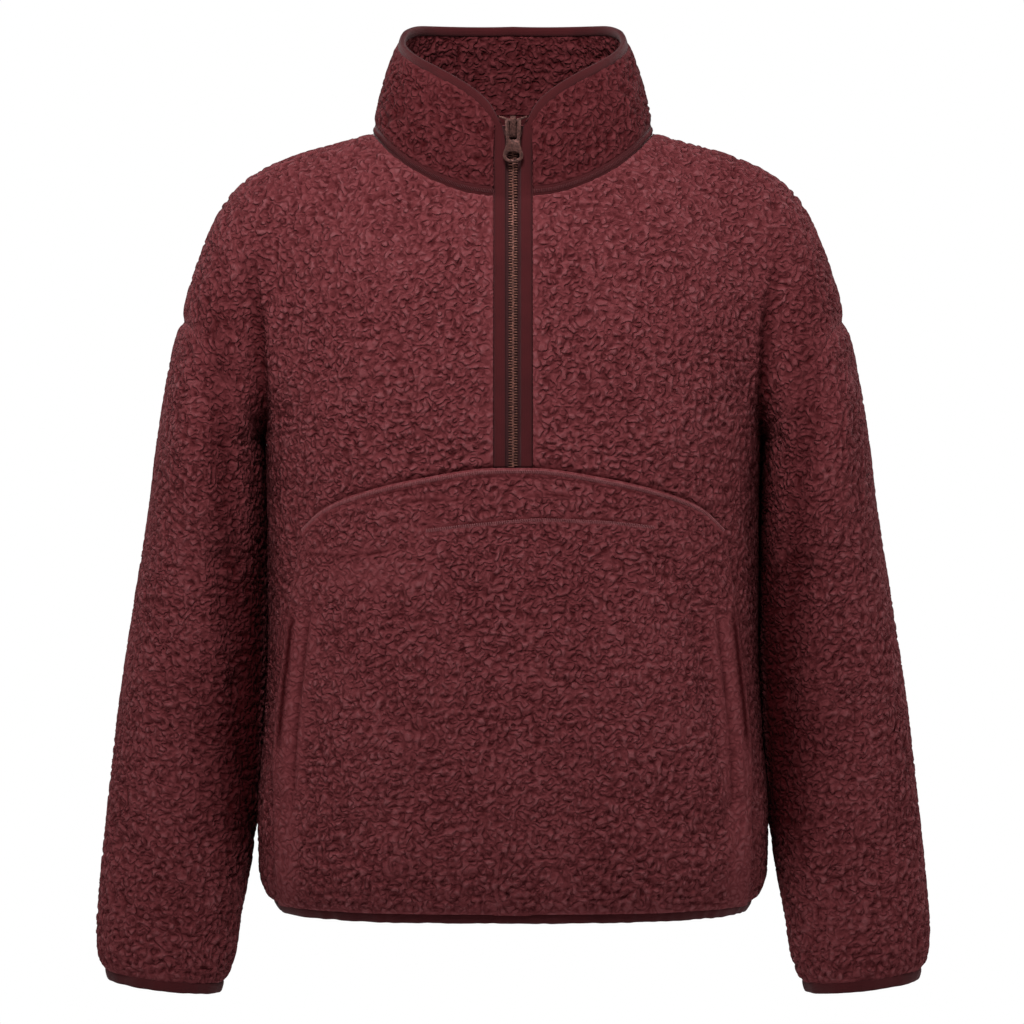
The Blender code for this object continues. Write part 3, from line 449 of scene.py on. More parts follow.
# %% Fair curves
def faired(table, column, at):
    """Read a table's column at any value of its first column, along a fair curve."""
    rows = sorted(table)
    known = np.array([row[0] for row in rows], float)
    value = np.array([row[column] for row in rows], float)
    step = np.diff(known)
    slope = np.diff(value) / step
    tangent = np.zeros_like(value)
    tangent[0] = slope[0]
    tangent[-1] = slope[-1]
    for i in range(1, len(value) - 1):
        if slope[i - 1] * slope[i] > 0:
            before = 2 * step[i] + step[i - 1]
            after = step[i] + 2 * step[i - 1]
            tangent[i] = (before + after) / (before / slope[i - 1] + after / slope[i])
    at = np.clip(np.asarray(at, float), known[0], known[-1])
    index = np.clip(np.searchsorted(known, at) - 1, 0, len(step) - 1)
    width = step[index]
    t = (at - known[index]) / width
    return (value[index] * (1 + 2 * t) * (1 - t) ** 2
            + tangent[index] * width * t * (1 - t) ** 2
            + value[index + 1] * t * t * (3 - 2 * t)
            - tangent[index + 1] * width * t * t * (1 - t))


def eased(t):
    """Rise from 0 to 1 with level ends."""
    t = np.clip(t, 0.0, 1.0)
    return t * t * (3 - 2 * t)


def mixed(first, second, share):
    """Between two values: the first at share 0 and the second at share 1."""
    return first * (1 - share) + second * share


def unit(vectors):
    """Vectors of length one."""
    return vectors / np.linalg.norm(vectors, axis=-1, keepdims=True)


def closed_ring(grid):
    """A ring's grid with its first column once more at the end."""
    return np.concatenate([grid, grid[:, :1]], axis=1)


def walked(points):
    """Distance walked at each point of a line."""
    steps = np.linalg.norm(np.diff(points, axis=0), axis=-1)
    return np.concatenate([np.zeros((1,) + steps.shape[1:]), np.cumsum(steps, axis=0)])


def even_line(points, count):
    """The same line as count points at even steps."""
    distance = walked(points)
    wanted = np.linspace(0, distance[-1], count)
    return np.stack([np.interp(wanted, distance, points[:, axis])
                     for axis in range(points.shape[1])], axis=1)


def fair_line(points, count):
    """A fair curve through a few points, as count points at even steps."""
    points = np.array(points, float)
    distance = walked(points)
    fine = np.linspace(0, distance[-1], count * 8)
    columns = [faired(list(zip(distance, points[:, axis])), 1, fine) for axis in range(points.shape[1])]
    return even_line(np.stack(columns, axis=1), count)


EDGE = fair_line(OUTLINE, 160)
print("outline length", round(float(walked(EDGE)[-1])), "mm")

# %% [markdown]
# ## Depth of the cloth
#
# Torso and arm are rounded tubes. Each gives a squared half depth at a place of
# the front view, which is a smooth number even outside the tube, where it is
# negative. A soft union of the two numbers makes one skin with a rounded crease
# between them, and above the underarm the arm opens in an arch. Metaballs work in
# the same way, but here each section can be read off a table.
#
# Folds are soft ridges and troughs along short lines, laid one by one, because a cloth
# simulation would put them where it likes. The painted-shade values say how much
# shade is painted into the pile's colour where body and sleeve touch: a finish
# can't work that out from its surface alone.

# %% Depth of the cloth
PLACES_AT_ONCE = 20000       # more would fill the memory
ARM_HIGHEST = -151.0         # above this the shoulder's own rounding takes over
ARM_BLEND = 60.0             # height over which it does
PLANE_STARTS = 90.0          # x where the side seam plane starts to lean back
PLANE_RUN = 107.0
DEEPEST_SHARE = 0.4          # of the half depth that the drape may take away
LEAST_SQUARED = 40.0         # the crease's softness is worked out from no less than this
SLOPE_STEP = 0.4             # step over which a slope is read, mm
FACING_GAIN = 1.6            # folds are flat where the cloth turns to the side
FACING_LOSS = 0.3


def inset_from_edge(x, z):
    """Distance of (x, z) inwards from the outline, negative outside it."""
    shape = np.shape(x)
    flat_x = np.ravel(x)
    flat_z = np.ravel(z)
    result = np.empty(len(flat_x))
    start = EDGE[:-1][None]
    along = EDGE[1:][None] - start
    for first in range(0, len(flat_x), PLACES_AT_ONCE):
        part = slice(first, first + PLACES_AT_ONCE)
        spot = np.stack([flat_x[part], flat_z[part]], axis=1)[:, None, :]
        t = np.clip(((spot - start) * along).sum(2) / (along ** 2).sum(2), 0, 1)
        off = spot - (start + t[..., None] * along)
        distance = np.linalg.norm(off, axis=2)
        nearest = distance.argmin(axis=1)
        row = np.arange(len(nearest))
        turn = along[0, nearest, 0] * off[row, nearest, 1] - along[0, nearest, 1] * off[row, nearest, 0]
        result[part] = np.where(turn <= 0, distance[row, nearest], -distance[row, nearest])
    return result.reshape(shape)


def outer_x(z):
    """x of the outline at a height on the arm."""
    arm = EDGE[EDGE[:, 1] < -20]
    return np.interp(-np.asarray(z, float), -arm[:, 1], arm[:, 0])


def side_plane(x, z):
    """y of the plane of the side seams: level in front of the neck, further back at the arms."""
    return faired(SIDE_PLANE, 1, z) * eased((np.abs(x) - PLANE_STARTS) / PLANE_RUN)


def torso_squared(x, z, side):
    """Square of the torso's half depth; side is 1 in front and -1 behind."""
    half_width = faired(TORSO, 1, z)
    depth = faired(TORSO, 2 if side > 0 else 3, z)
    square = faired(TORSO, 4, z)
    rest = 1 - (np.abs(x) / half_width) ** square
    return depth ** 2 * np.sign(rest) * np.abs(rest) ** (2 / square)


ARM_LEVELS = np.linspace(ARM_HIGHEST, -700.0, 550)
ARM_RADII = inset_from_edge(faired(ARM, 1, ARM_LEVELS), ARM_LEVELS) / 2


def arm_squared(x, z, side=1):
    """Square of the half depth of shoulder and arm, which opens into the torso above the underarm."""
    z = np.asarray(z, float)
    radius = np.interp(-np.minimum(z, ARM_HIGHEST), -ARM_LEVELS, ARM_RADII)
    share = eased((z - ARM_HIGHEST) / ARM_BLEND)
    radius = mixed(radius, SHOULDER_RADIUS, share)
    from_middle = (inset_from_edge(np.abs(x), z) - radius) / radius
    arch = 1 - np.clip((z - UNDERARM_HEIGHT) / ARCH_HEIGHT, 0, 1)
    drop = np.where(from_middle > 0, 1 - ARCH_DEPTH * (1 - arch ** 2), 1.0)
    return faired(ARM, 2, z) ** 2 * (1 - drop * from_middle ** 2)


def body_squared(x, z, side):
    """Square of the body's half depth: the torso, and above the underarm its soft union with the arm."""
    torso = torso_squared(x, z, side)
    arm = arm_squared(x, z)
    rise = eased((np.asarray(z, float) - UNDERARM_HEIGHT) / ARCH_HEIGHT)
    soft = CREASE_SOFTNESS * rise * np.sqrt(np.maximum(arm, LEAST_SQUARED)) + 1e-6
    overlap = np.maximum(soft - np.abs(torso - arm), 0.0) / soft
    union = np.maximum(torso, arm) + overlap ** 2 * soft / 4
    return np.where(np.asarray(z, float) > UNDERARM_HEIGHT, union, torso)


def bell(gap, half_width, middle=0.0):
    """A rounded bump: 1 in its middle, and fading over its half width."""
    return np.exp(-((gap - middle) / half_width) ** 2)


def beside_run(x, z, start, end):
    """Where places lie beside a straight run: share of the way along it, x off it, and distance."""
    run_x = end[0] - start[0]
    run_z = end[1] - start[1]
    share = ((x - start[0]) * run_x + (z - start[1]) * run_z) / (run_x ** 2 + run_z ** 2)
    share = np.clip(share, 0, 1)
    off_x = x - start[0] - share * run_x
    return share, off_x, np.hypot(off_x, z - start[1] - share * run_z)


def fold_height(x, z, side):
    """Height of the folds at a place of the front view."""
    total = np.zeros(np.shape(x))
    for x1, z1, x2, z2, height, half_width, where in FOLDS + SMALL_FOLDS:
        if where in (0, side):
            gap = beside_run(x, z, (x1, z1), (x2, z2))[2]
            total = total + height * bell(gap, half_width)
    return total


def along_line(x, z, line, to_body=None):
    """Most that a line gives to places: a row of the line is x, z, amount and reach towards the arm.

    to_body is the reach on the side of the body, where it is another one.
    """
    most = np.zeros(np.shape(x))
    for start, end in zip(line, line[1:]):
        share, off_x, gap = beside_run(x, z, start, end)
        amount = start[2] + (end[2] - start[2]) * share
        reach = start[3] + (end[3] - start[3]) * share
        if to_body is not None:
            reach = np.where(off_x < 0, to_body, reach)
        most = np.maximum(most, amount * bell(gap, reach))
    return most


def drape_depth(x, z):
    """How far the cloth goes in along the line between body and arm."""
    line = [(*row, DRAPE_TO_ARM) for row in DRAPE_LINE]
    return along_line(np.abs(x), z, line, DRAPE_TO_BODY)


def painted_shade_share(points):
    """How much shade is painted into the pile's colour at points, from 0 to 1."""
    x, z = np.abs(points[..., 0]), points[..., 2]
    return np.maximum(along_line(x, z, MAIN_PAINTED_SHADE, PAINTED_SHADE_TO_BODY), along_line(x, z, SLEEVE_PAINTED_SHADE))


def on_cloth(squared, x, z, side):
    """Points and outward normals of the cloth at places (x, z), as a grid of six numbers each."""
    step = SLOPE_STEP
    half = np.sqrt(np.maximum(squared(x, z, side), 0.0))
    grow_x = (squared(x + step, z, side) - squared(x - step, z, side)) / (2 * step)
    grow_z = (squared(x, z + step, side) - squared(x, z - step, side)) / (2 * step)
    lean_x = (side_plane(x + step, z) - side_plane(x - step, z)) / (2 * step)
    lean_z = (side_plane(x, z + step) - side_plane(x, z - step)) / (2 * step)
    depth = -side * half
    normal = np.stack([-2 * depth * lean_x - grow_x, 2 * depth, -2 * depth * lean_z - grow_z], axis=-1)
    normal = normal / np.maximum(np.linalg.norm(normal, axis=-1, keepdims=True), 1e-9)
    point = np.stack([x, side_plane(x, z) + depth, z], axis=-1)
    facing = eased(np.abs(normal[..., 1]) * FACING_GAIN - FACING_LOSS)
    point = point + normal * (fold_height(x, z, side) * facing)[..., None]
    point[..., 1] += side * np.minimum(drape_depth(x, z), DEEPEST_SHARE * half)
    return np.concatenate([point, normal], axis=-1)


chest = on_cloth(body_squared, np.array([0.0]), np.array([-200.0]), 1)
print("chest stands", round(float(-chest[0, 1])), "mm in front of the neck points")

# %% [markdown]
# ## Grids that follow the seams
#
# Each panel is a grid whose edges are its seams: centre, side seam, armhole, neck
# and shoulder. Above the underarm it is a Coons patch, which fills a shape from
# its four edge lines. The pile needs small faces of one size everywhere, so the
# grid is made fine first, then walked along each line and read at even steps.
# Rows and columns where a seam turns a corner are kept.

# %% Lines of the panels
FINE = 9                   # fine grid lines for each face of the solids
FRONT_COLUMNS = 13
BACK_COLUMNS = 16
POCKET_COLUMNS = 8
BACK_NECK_COLUMNS = 6
POCKET_ROWS = 8
LOWER_ROWS = 10
UPPER_ROWS = 14
NECK_STARTS = 5            # rows of the front above the underarm, up to the neck seam
HALVINGS = 40              # steps that find a height of the armhole seam
CROWDING = 0.75            # how much the back's columns crowd towards the side seam


def arm_x(turn, z):
    """x of the arm's surface at a turn round it: 0 outside, pi next to the torso."""
    outside = outer_x(z)
    inside = faired(ARM, 1, z)
    return outside - (outside - inside) * (1 - np.cos(turn)) / 2


def armhole_places(count):
    """Places (x, z) of the armhole seam from underarm to shoulder tip, at even turns round the arm."""
    turn = np.linspace(math.pi, 0, count + 1)
    low = np.full(count + 1, UNDERARM_HEIGHT)
    high = np.full(count + 1, SHOULDER_TIP_HEIGHT)
    for _ in range(HALVINGS):
        middle = (low + high) / 2
        beyond = arm_x(turn, middle) < faired(ARMHOLE, 1, middle)
        high = np.where(beyond, middle, high)
        low = np.where(beyond, low, middle)
    z = (low + high) / 2
    z[0] = UNDERARM_HEIGHT
    z[-1] = SHOULDER_TIP_HEIGHT
    x = arm_x(turn, z)
    x[0] = faired(ARMHOLE, 1, UNDERARM_HEIGHT)
    return np.stack([x, z], axis=1)


def neck_height(turn):
    """Height of the neck seam at a turn from centre front (0) to centre back (pi)."""
    return faired(NECK_SEAM, 1, np.degrees(turn))


def neck_turns(side, count):
    """Turns of the neck seam at even steps, from the centre strip to the shoulder."""
    fine = np.linspace(math.asin(CENTRE_HALF_WIDTH / NECK_HALF_WIDTH), math.pi / 2, 200)
    if side < 0:
        fine = math.pi - fine
    line = np.stack([NECK_HALF_WIDTH * np.sin(fine), neck_height(fine)], axis=1)
    distance = walked(line)
    return np.interp(np.linspace(0, distance[-1], count + 1), distance, fine)


def neck_places(side, count):
    """Places (x, z) of the neck seam from the centre strip to the shoulder."""
    turns = neck_turns(side, count)
    places = np.stack([NECK_HALF_WIDTH * np.sin(turns), neck_height(turns)], axis=1)
    places[0, 0] = CENTRE_HALF_WIDTH
    return places


def shoulder_places(count):
    """Places of the shoulder seam from the neck point to the armhole, at even steps."""
    ridge = EDGE[(EDGE[:, 0] > NECK_HALF_WIDTH) & (EDGE[:, 1] > SHOULDER_TIP_HEIGHT)]
    ends = np.array([[NECK_HALF_WIDTH, 0.0], [SHOULDER_TIP_HALF_WIDTH, SHOULDER_TIP_HEIGHT]])
    return even_line(np.concatenate([ends[:1], ridge, ends[1:]]), count + 1)


def row_climb():
    """How far up each fine upper row lies, 0 at the underarm and 1 at the ridge."""
    return np.sin(np.linspace(0, 1, UPPER_ROWS * FINE + 1) * math.pi / 2)


def front_edges():
    """Inner and top edge of the front above the underarm: slit and neck seam, and shoulder seam."""
    starts = NECK_STARTS * FINE
    climb = row_climb()
    neck = neck_places(1, UPPER_ROWS * FINE - starts)
    share = climb[:starts] / climb[starts]
    z = UNDERARM_HEIGHT + (neck[0, 1] - UNDERARM_HEIGHT) * share
    slit = np.stack([np.full(starts, CENTRE_HALF_WIDTH), z], axis=1)
    return np.concatenate([slit, neck]), shoulder_places(FRONT_COLUMNS * FINE)


def back_edges():
    """Inner and top edge of the back above the underarm: centre strip, and neck and shoulder seams."""
    neck = neck_places(-1, BACK_NECK_COLUMNS * FINE)
    z = UNDERARM_HEIGHT + (neck[0, 1] - UNDERARM_HEIGHT) * row_climb()
    strip = np.stack([np.full(len(z), CENTRE_HALF_WIDTH), z], axis=1)
    shoulder = shoulder_places((BACK_COLUMNS - BACK_NECK_COLUMNS) * FINE)
    return strip, np.concatenate([neck, shoulder[1:]])


def level_rows():
    """Places of the back from hem to underarm in level rows, from centre strip to side seam."""
    across = np.linspace(0, 1, BACK_COLUMNS * FINE + 1)
    spread = mixed(across, np.sin(across * math.pi / 2), CROWDING)
    levels = BODY_BOTTOM + (UNDERARM_HEIGHT - BODY_BOTTOM) * np.linspace(0, 1, LOWER_ROWS * FINE + 1)
    x = CENTRE_HALF_WIDTH + (faired(TORSO, 1, levels)[:, None] - CENTRE_HALF_WIDTH) * spread
    return np.stack([x, np.repeat(levels[:, None], len(across), axis=1)], axis=-1)


def pocket_rows():
    """Places of the front from hem to underarm, whose lines follow the pocket's side and top edges."""
    covered = POCKET_COLUMNS * FINE
    inside = np.linspace(0, 1, covered + 1)
    beyond = np.sin(np.linspace(0, 1, (FRONT_COLUMNS - POCKET_COLUMNS) * FINE + 1)[1:] * math.pi / 2)
    top_x = CENTRE_HALF_WIDTH + (POCKET_TOP[-1][0] - CENTRE_HALF_WIDTH) * inside
    top_z = np.concatenate([faired(POCKET_TOP, 1, top_x), np.full(len(beyond), POCKET_TOP[-1][1])])
    up = np.linspace(0, 1, POCKET_ROWS * FINE + 1)[:, None]
    z = BODY_BOTTOM + (top_z - BODY_BOTTOM) * up
    above = np.linspace(0, 1, (LOWER_ROWS - POCKET_ROWS) * FINE + 1)[1:, None]
    z = np.concatenate([z, top_z + (UNDERARM_HEIGHT - top_z) * above])
    edge = faired(POCKET_SIDE, 1, z)
    half_width = faired(TORSO, 1, z)
    x = CENTRE_HALF_WIDTH + (edge[:, :covered + 1] - CENTRE_HALF_WIDTH) * inside
    start = edge[:, covered + 1:]
    outside = start + (half_width[:, covered + 1:] - start) * beyond
    return np.stack([np.concatenate([x, outside], axis=1), z], axis=-1)


def half_panel_places(side):
    """Fine grid of places (x, z) of half a body panel: rows from hem to ridge, columns outwards."""
    lower = pocket_rows() if side > 0 else level_rows()
    inner, top = front_edges() if side > 0 else back_edges()
    outer = armhole_places(UPPER_ROWS * FINE)
    base = lower[-1]
    u = np.linspace(0, 1, len(base))[None, :, None]
    v = row_climb()[:, None, None]
    patch = (inner[:, None] * (1 - u) + outer[:, None] * u + base[None] * (1 - v) + top[None] * v
             - base[0] * (1 - u) * (1 - v) - base[-1] * u * (1 - v)
             - top[0] * (1 - u) * v - top[-1] * u * v)
    return np.concatenate([lower, patch[1:]])


def evened(grid, marks, counts):
    """Read a grid at even steps down each column, with the rows in marks kept."""
    parts = []
    for start, end, count in zip(marks, marks[1:], counts):
        part = grid[start:end + 1]
        distance = walked(part[..., :3])
        share = np.linspace(0, 1, count + 1)
        result = np.empty((count + 1,) + part.shape[1:])
        for column in range(part.shape[1]):
            wanted = share * distance[-1, column]
            for number in range(part.shape[2]):
                result[:, column, number] = np.interp(wanted, distance[:, column], part[:, column, number])
        parts.append(result if end == marks[-1] else result[:-1])
    return np.concatenate(parts)


def evened_both(grid, row_marks, row_counts, column_marks, column_counts):
    """Read a fine grid at even steps along its rows and then down its columns.

    The marks count faces of the solids.
    """
    fine_rows = [row * FINE for row in row_marks]
    fine_columns = [column * FINE for column in column_marks]
    across = evened(grid.transpose(1, 0, 2), fine_columns, column_counts).transpose(1, 0, 2)
    return evened(across, fine_rows, row_counts)


print("fine rows:", len(row_climb()), "above the underarm")

# %% [markdown]
# ## Curly pile
#
# Sherpa is a knit with long loops that are brushed up and tumbled into curls of a
# few millimetres. Hair strands would need millions of curves. Here the pile is a
# relief: many smooth waves that cross in all directions add up to a field of
# small worms and pebbles with dark grooves between them, and the outer skin is
# moved out or in by it. The field is worked out in space, so it runs on across a
# seam, and a slower field bends it, so no row of curls is straight. The waves are
# seeded: each run gives the same cloth. Each point also keeps its pile height, so
# that the finish can paint shade into the grooves and a highlight onto the tips.

# %% Pile relief
CURL_LENGTHS = (5.2, 7.6)   # shortest and longest wave, mm
CURL_WAVES = 44
CURL_SEED = 5
BEND_LENGTHS = (22.0, 46.0)
BEND_WAVES = 14
BEND_SEEDS = (11, 12, 13)
BEND_REACH = 1.7
SLOW_LENGTHS = (60.0, 110.0)
SLOW_WAVES = 10
SLOW_SEED = 21
PILE_LEVEL = 0.4            # above 0 the tips are wider than the grooves
PILE_LEVEL_CHANGE = 0.15    # how far slow waves change that
PILE_STEEPNESS = 2.1
CURL_RISE = 1.05            # tips above the solid's skin, mm
CURL_FALL = 1.15            # grooves below it


def waves(seed, count, lengths):
    """Wave vectors and phases in all directions, with lengths between two limits."""
    random = np.random.default_rng(seed)
    height = random.uniform(-1, 1, count)
    turn = random.uniform(0, math.tau, count)
    flat = np.sqrt(1 - height ** 2)
    direction = np.stack([flat * np.cos(turn), flat * np.sin(turn), height], axis=1)
    length = random.uniform(*lengths, count)
    return direction * (math.tau / length)[:, None], random.uniform(0, math.tau, count)


def wave_sum(points, seed, count, lengths):
    """Sum of the waves at the points, mostly between -2 and 2."""
    vectors, phases = waves(seed, count, lengths)
    total = np.zeros(points.shape[:-1])
    for vector, phase in zip(vectors, phases):
        total += np.cos(points @ vector + phase)
    return total * math.sqrt(2 / count)


def pile_height(points):
    """Height of the curls at points in millimetres: 0 in a groove and 1 on a tip."""
    bend = np.stack([wave_sum(points, seed, BEND_WAVES, BEND_LENGTHS) for seed in BEND_SEEDS], axis=-1)
    field = wave_sum(points + bend * BEND_REACH, CURL_SEED, CURL_WAVES, CURL_LENGTHS)
    depth = PILE_LEVEL + PILE_LEVEL_CHANGE * wave_sum(points, SLOW_SEED, SLOW_WAVES, SLOW_LENGTHS)
    return 1 / (1 + np.exp(-(field + depth) * PILE_STEEPNESS))


def pile_rise(height, flat):
    """How far the skin is moved out for a pile height, less where the pile lies flat."""
    return (height * (CURL_RISE + CURL_FALL) - CURL_FALL) * (1 - flat)


print("pile:", CURL_WAVES, "waves of", CURL_LENGTHS, "mm")

# %% [markdown]
# ## From a grid to a piece of cloth
#
# A piece of fleece is a closed wall: the fine outer skin with its relief, a
# coarser inner skin four millimetres below, and a rim between them. Towards a
# seam the pile is pressed down by the stitching, so the relief fades there and
# the skin sinks a little. Solidify could give the wall, but it would copy all the
# fine faces to the inside, where nobody needs them.

# %% Cloth wall
STEP = 3                    # fine faces along one inner face
PRESS_REACH = 2.2           # fine faces over which a seam presses the pile
PRESS_DEPTH = 1.1           # how far it does, mm
STITCHED_FLATNESS = 0.75    # how flat the pile lies in a seam
AVERAGE_PILE = 0.62         # pile height that flat pile is shown with
RIM_REACH = 8               # fine faces over which the distance to a rim is counted


def fine_faces(present, step):
    """Which fine faces are there, for blocks of step by step faces."""
    return np.kron(present, np.ones((step, step), bool)).astype(bool)


def rim_distance(present):
    """For each grid point, how many faces away the nearest edge of the piece is, up to a few."""
    rows, columns = present.shape
    full = np.zeros((rows + 1, columns + 1), bool)
    full[1:-1, 1:-1] = present[:-1, :-1] & present[1:, :-1] & present[:-1, 1:] & present[1:, 1:]
    distance = np.where(full, RIM_REACH + 1.0, 0.0)
    for away_now in range(1, RIM_REACH):
        near = np.zeros_like(full)
        low = distance <= away_now - 1
        near[1:] |= low[:-1]
        near[:-1] |= low[1:]
        near[:, 1:] |= low[:, :-1]
        near[:, :-1] |= low[:, 1:]
        distance = np.where(near & (distance > away_now), away_now, distance)
    return distance


def faces_of(present, ring, step):
    """Outer quads, inner quads and rim faces of a wall, as lists of point numbers.

    present says for each block of step by step fine faces whether it is there.
    """
    block_rows, block_columns = present.shape
    rows = block_rows * step + 1
    columns = block_columns * step + (0 if ring else 1)
    outer = np.arange(rows * columns).reshape(rows, columns)
    inner_columns = block_columns + (0 if ring else 1)
    inner = rows * columns + np.arange((block_rows + 1) * inner_columns).reshape(block_rows + 1, -1)
    if ring:
        outer = closed_ring(outer)
        inner = closed_ring(inner)
    fine = fine_faces(present, step)
    quads = np.stack([outer[:-1, :-1], outer[:-1, 1:], outer[1:, 1:], outer[1:, :-1]], axis=-1)[fine]
    backs = np.stack([inner[:-1, :-1], inner[1:, :-1], inner[1:, 1:], inner[:-1, 1:]], axis=-1)[present]
    faces = quads.tolist() + backs.tolist()
    around = np.pad(present, 1)
    if ring:
        around[1:-1, 0] = present[:, -1]
        around[1:-1, -1] = present[:, 0]
    for r, c in zip(*np.nonzero(present)):
        block = outer[r * step:(r + 1) * step + 1, c * step:(c + 1) * step + 1]
        corner = inner[r:r + 2, c:c + 2]
        # for each side: whether a block follows there, outer points along it, inner corners
        sides = (
            (around[r, c + 1], block[0, ::-1], corner[0, 0], corner[0, 1]),
            (around[r + 2, c + 1], block[-1], corner[1, 1], corner[1, 0]),
            (around[r + 1, c + 2], block[::-1, -1], corner[0, 1], corner[1, 1]),
            (around[r + 1, c], block[:, 0], corner[1, 0], corner[0, 0]),
        )
        faces += [[*walk, first, second] for follows, walk, first, second in sides if not follows]
    return [[int(i) for i in face] for face in faces]


def new_piece(name, vertices, faces, material, node, body=GARMENT):
    """Make an object from millimetre points; it stands for CAD nodes and rides on a body."""
    mesh = bpy.data.meshes.new(name)
    mesh.from_pydata((np.asarray(vertices) * MM).tolist(), [], faces)
    mesh.shade_smooth()
    mesh.materials.append(material)
    piece = bpy.data.objects.new(name, mesh)
    bpy.context.scene.collection.objects.link(piece)
    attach(piece, body)
    if node:
        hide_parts(*([node] if isinstance(node, str) else node))
    return piece


def keep_number(mesh, name, values):
    """Store one number for each point of a mesh, for its finish to read."""
    attribute = mesh.attributes.new(name, "FLOAT", "POINT")
    attribute.data.foreach_set("value", np.asarray(values, np.float32).ravel())


def flat_area(grid, present, ring, step):
    """Area of the outer skin before the pile is raised, in square metres."""
    points = grid[..., :3]
    if ring:
        points = closed_ring(points)
    across = points[:-1, 1:] - points[:-1, :-1]
    up = points[1:, :-1] - points[:-1, :-1]
    areas = np.linalg.norm(np.cross(across, up), axis=-1)
    return float(areas[fine_faces(present, step)].sum()) * MM ** 2


def make_cloth(name, node, grid, wall, material, ring=False, missing=None, keep=None, shape=None,
               step=STEP):
    """Make a walled piece of fleece from an even grid of points and normals.

    missing(block row, block column) leaves a block out. keep(points) holds points on
    the piece's own side of a seam. shape(points) gives how flat the pile lies at each
    point, from 0 to 1, how far the cloth rises there, in millimetres, and how much
    shade is painted into its colour there. With a step of 1 the inner skin is as fine
    as the outer one and has a pile of its own.
    """
    rows, columns = grid.shape[:2]
    present = np.ones(((rows - 1) // step, (columns if ring else columns - 1) // step), bool)
    if missing is not None:
        present = ~missing(*np.indices(present.shape))
    across = grid[:-1, 1:, :3] - grid[:-1, :-1, :3]
    up = grid[1:, :-1, :3] - grid[:-1, :-1, :3]
    if (np.cross(across, up) * grid[:-1, :-1, 3:]).sum() < 0:
        grid = grid[:, ::-1]
        present = present[:, ::-1]
        if ring:
            grid = np.roll(grid, 1, axis=1)
    points = grid[..., :3]
    normals = grid[..., 3:]
    fine = fine_faces(present, step)
    if ring:
        wrapped = np.concatenate([fine[:, -RIM_REACH:], fine, fine[:, :RIM_REACH]], axis=1)
        distance = rim_distance(wrapped)[:, RIM_REACH:-RIM_REACH - 1]
    else:
        distance = rim_distance(fine)
    pressed = bell(distance, PRESS_REACH)
    flat = STITCHED_FLATNESS * pressed
    rise = -PRESS_DEPTH * pressed
    # painted shade between body and sleeve, to which shape adds its own
    painted_shade = painted_shade_share(points)
    if shape is not None:
        shape_flat, shape_rise, shape_painted_shade = shape(points)
        flat = np.maximum(flat, shape_flat)
        rise = rise + shape_rise
        painted_shade = np.maximum(painted_shade, shape_painted_shade)
    height = pile_height(points)
    outer = points + normals * (pile_rise(height, flat) + rise)[..., None]
    inner = (points - normals * wall)[::step, ::step]
    inner_pile = np.full(inner.shape[:2], AVERAGE_PILE)
    if step == 1:
        inner_pile = pile_height(inner)
        inner = inner - normals * (pile_rise(inner_pile, flat) + rise)[..., None]
    if keep is not None:
        outer = keep(outer)
        inner = keep(inner)
    faces = faces_of(present, ring, step)
    vertices = np.concatenate([outer.reshape(-1, 3), inner.reshape(-1, 3)])
    used = np.zeros(len(vertices), bool)
    for face in faces:
        used[face] = True
    number = np.cumsum(used) - 1
    faces = [[int(number[i]) for i in face] for face in faces]
    piece = new_piece(name, vertices[used], faces, material, node)
    # The finish reads these: the pile height, whose grooves get painted shade, how flat the pile lies, and
    # the painted shade.
    kept = (("pile", mixed(height, AVERAGE_PILE, flat), inner_pile),
            ("flat", flat, flat[::step, ::step]),
            ("painted_shade", painted_shade, painted_shade[::step, ::step]))
    for kept_name, on_outer, on_inner in kept:
        values = np.concatenate([on_outer.ravel(), on_inner.ravel()])
        keep_number(piece.data, kept_name, values[used])
    triangles = sum(len(face) - 2 for face in faces)
    area = flat_area(grid, present, ring, step)
    print(name, "points", int(used.sum()), "triangles", triangles, "area", round(area, 3), "m2")
    return piece, area


# %% [markdown]
# ## Finishes
#
# The curly pile's finish reads the kept pile height and adds finer curls of its
# own. They are cells that two noises bend, with a soft groove round each, and long
# worms across them, which come from the places where a noise is near its middle
# value. The same curls feed the colour and the bump, so a groove is a dip and also
# gets painted shade in its colour. Where the kept painted-shade value is high, more
# shade is painted into the colour, for places that little light reaches. Such pile
# has hardly any gloss. The effects that several finishes share are node groups,
# built once.

# %% Curl group
CURL_SCALE = 150.0          # curls in a metre
WORM_SCALE = 200.0
CURL_BENDS = ((110.0, 0.0035), (240.0, 0.0016))    # scale, and reach in metres
GROOVE_WIDTH = 0.38         # share of a curl's width
GROOVE_DEPTH = 0.34         # share of a curl's height
WORM_WIDTH = 0.20
WORM_DEPTH = 0.58
SLOW_SCALE = 22.0           # of the places where the curls are lower
SLOW_RANGE = (0.35, 0.72)   # values of that noise between which they get lower
LOWER_CURLS = 0.75
LEAST_GROOVE_SHADE = 0.65          # share of its painted groove shade that even a flat curl keeps
FIBRE_SCALE = 1100.0


def shifted(tree, place, scale, reach):
    """A place moved about by a noise, which bends every pattern that reads it."""
    swing = noise(tree, place, scale, 1.0, "Color")
    kind = "ShaderNodeVectorMath"
    centred = add_node(tree, kind, {0: swing, 1: (0.5, 0.5, 0.5)}, operation="SUBTRACT").outputs[0]
    move = add_node(tree, kind, {0: centred, "Scale": reach}, operation="SCALE").outputs[0]
    return add_node(tree, kind, {0: place, 1: move}, operation="ADD").outputs[0]


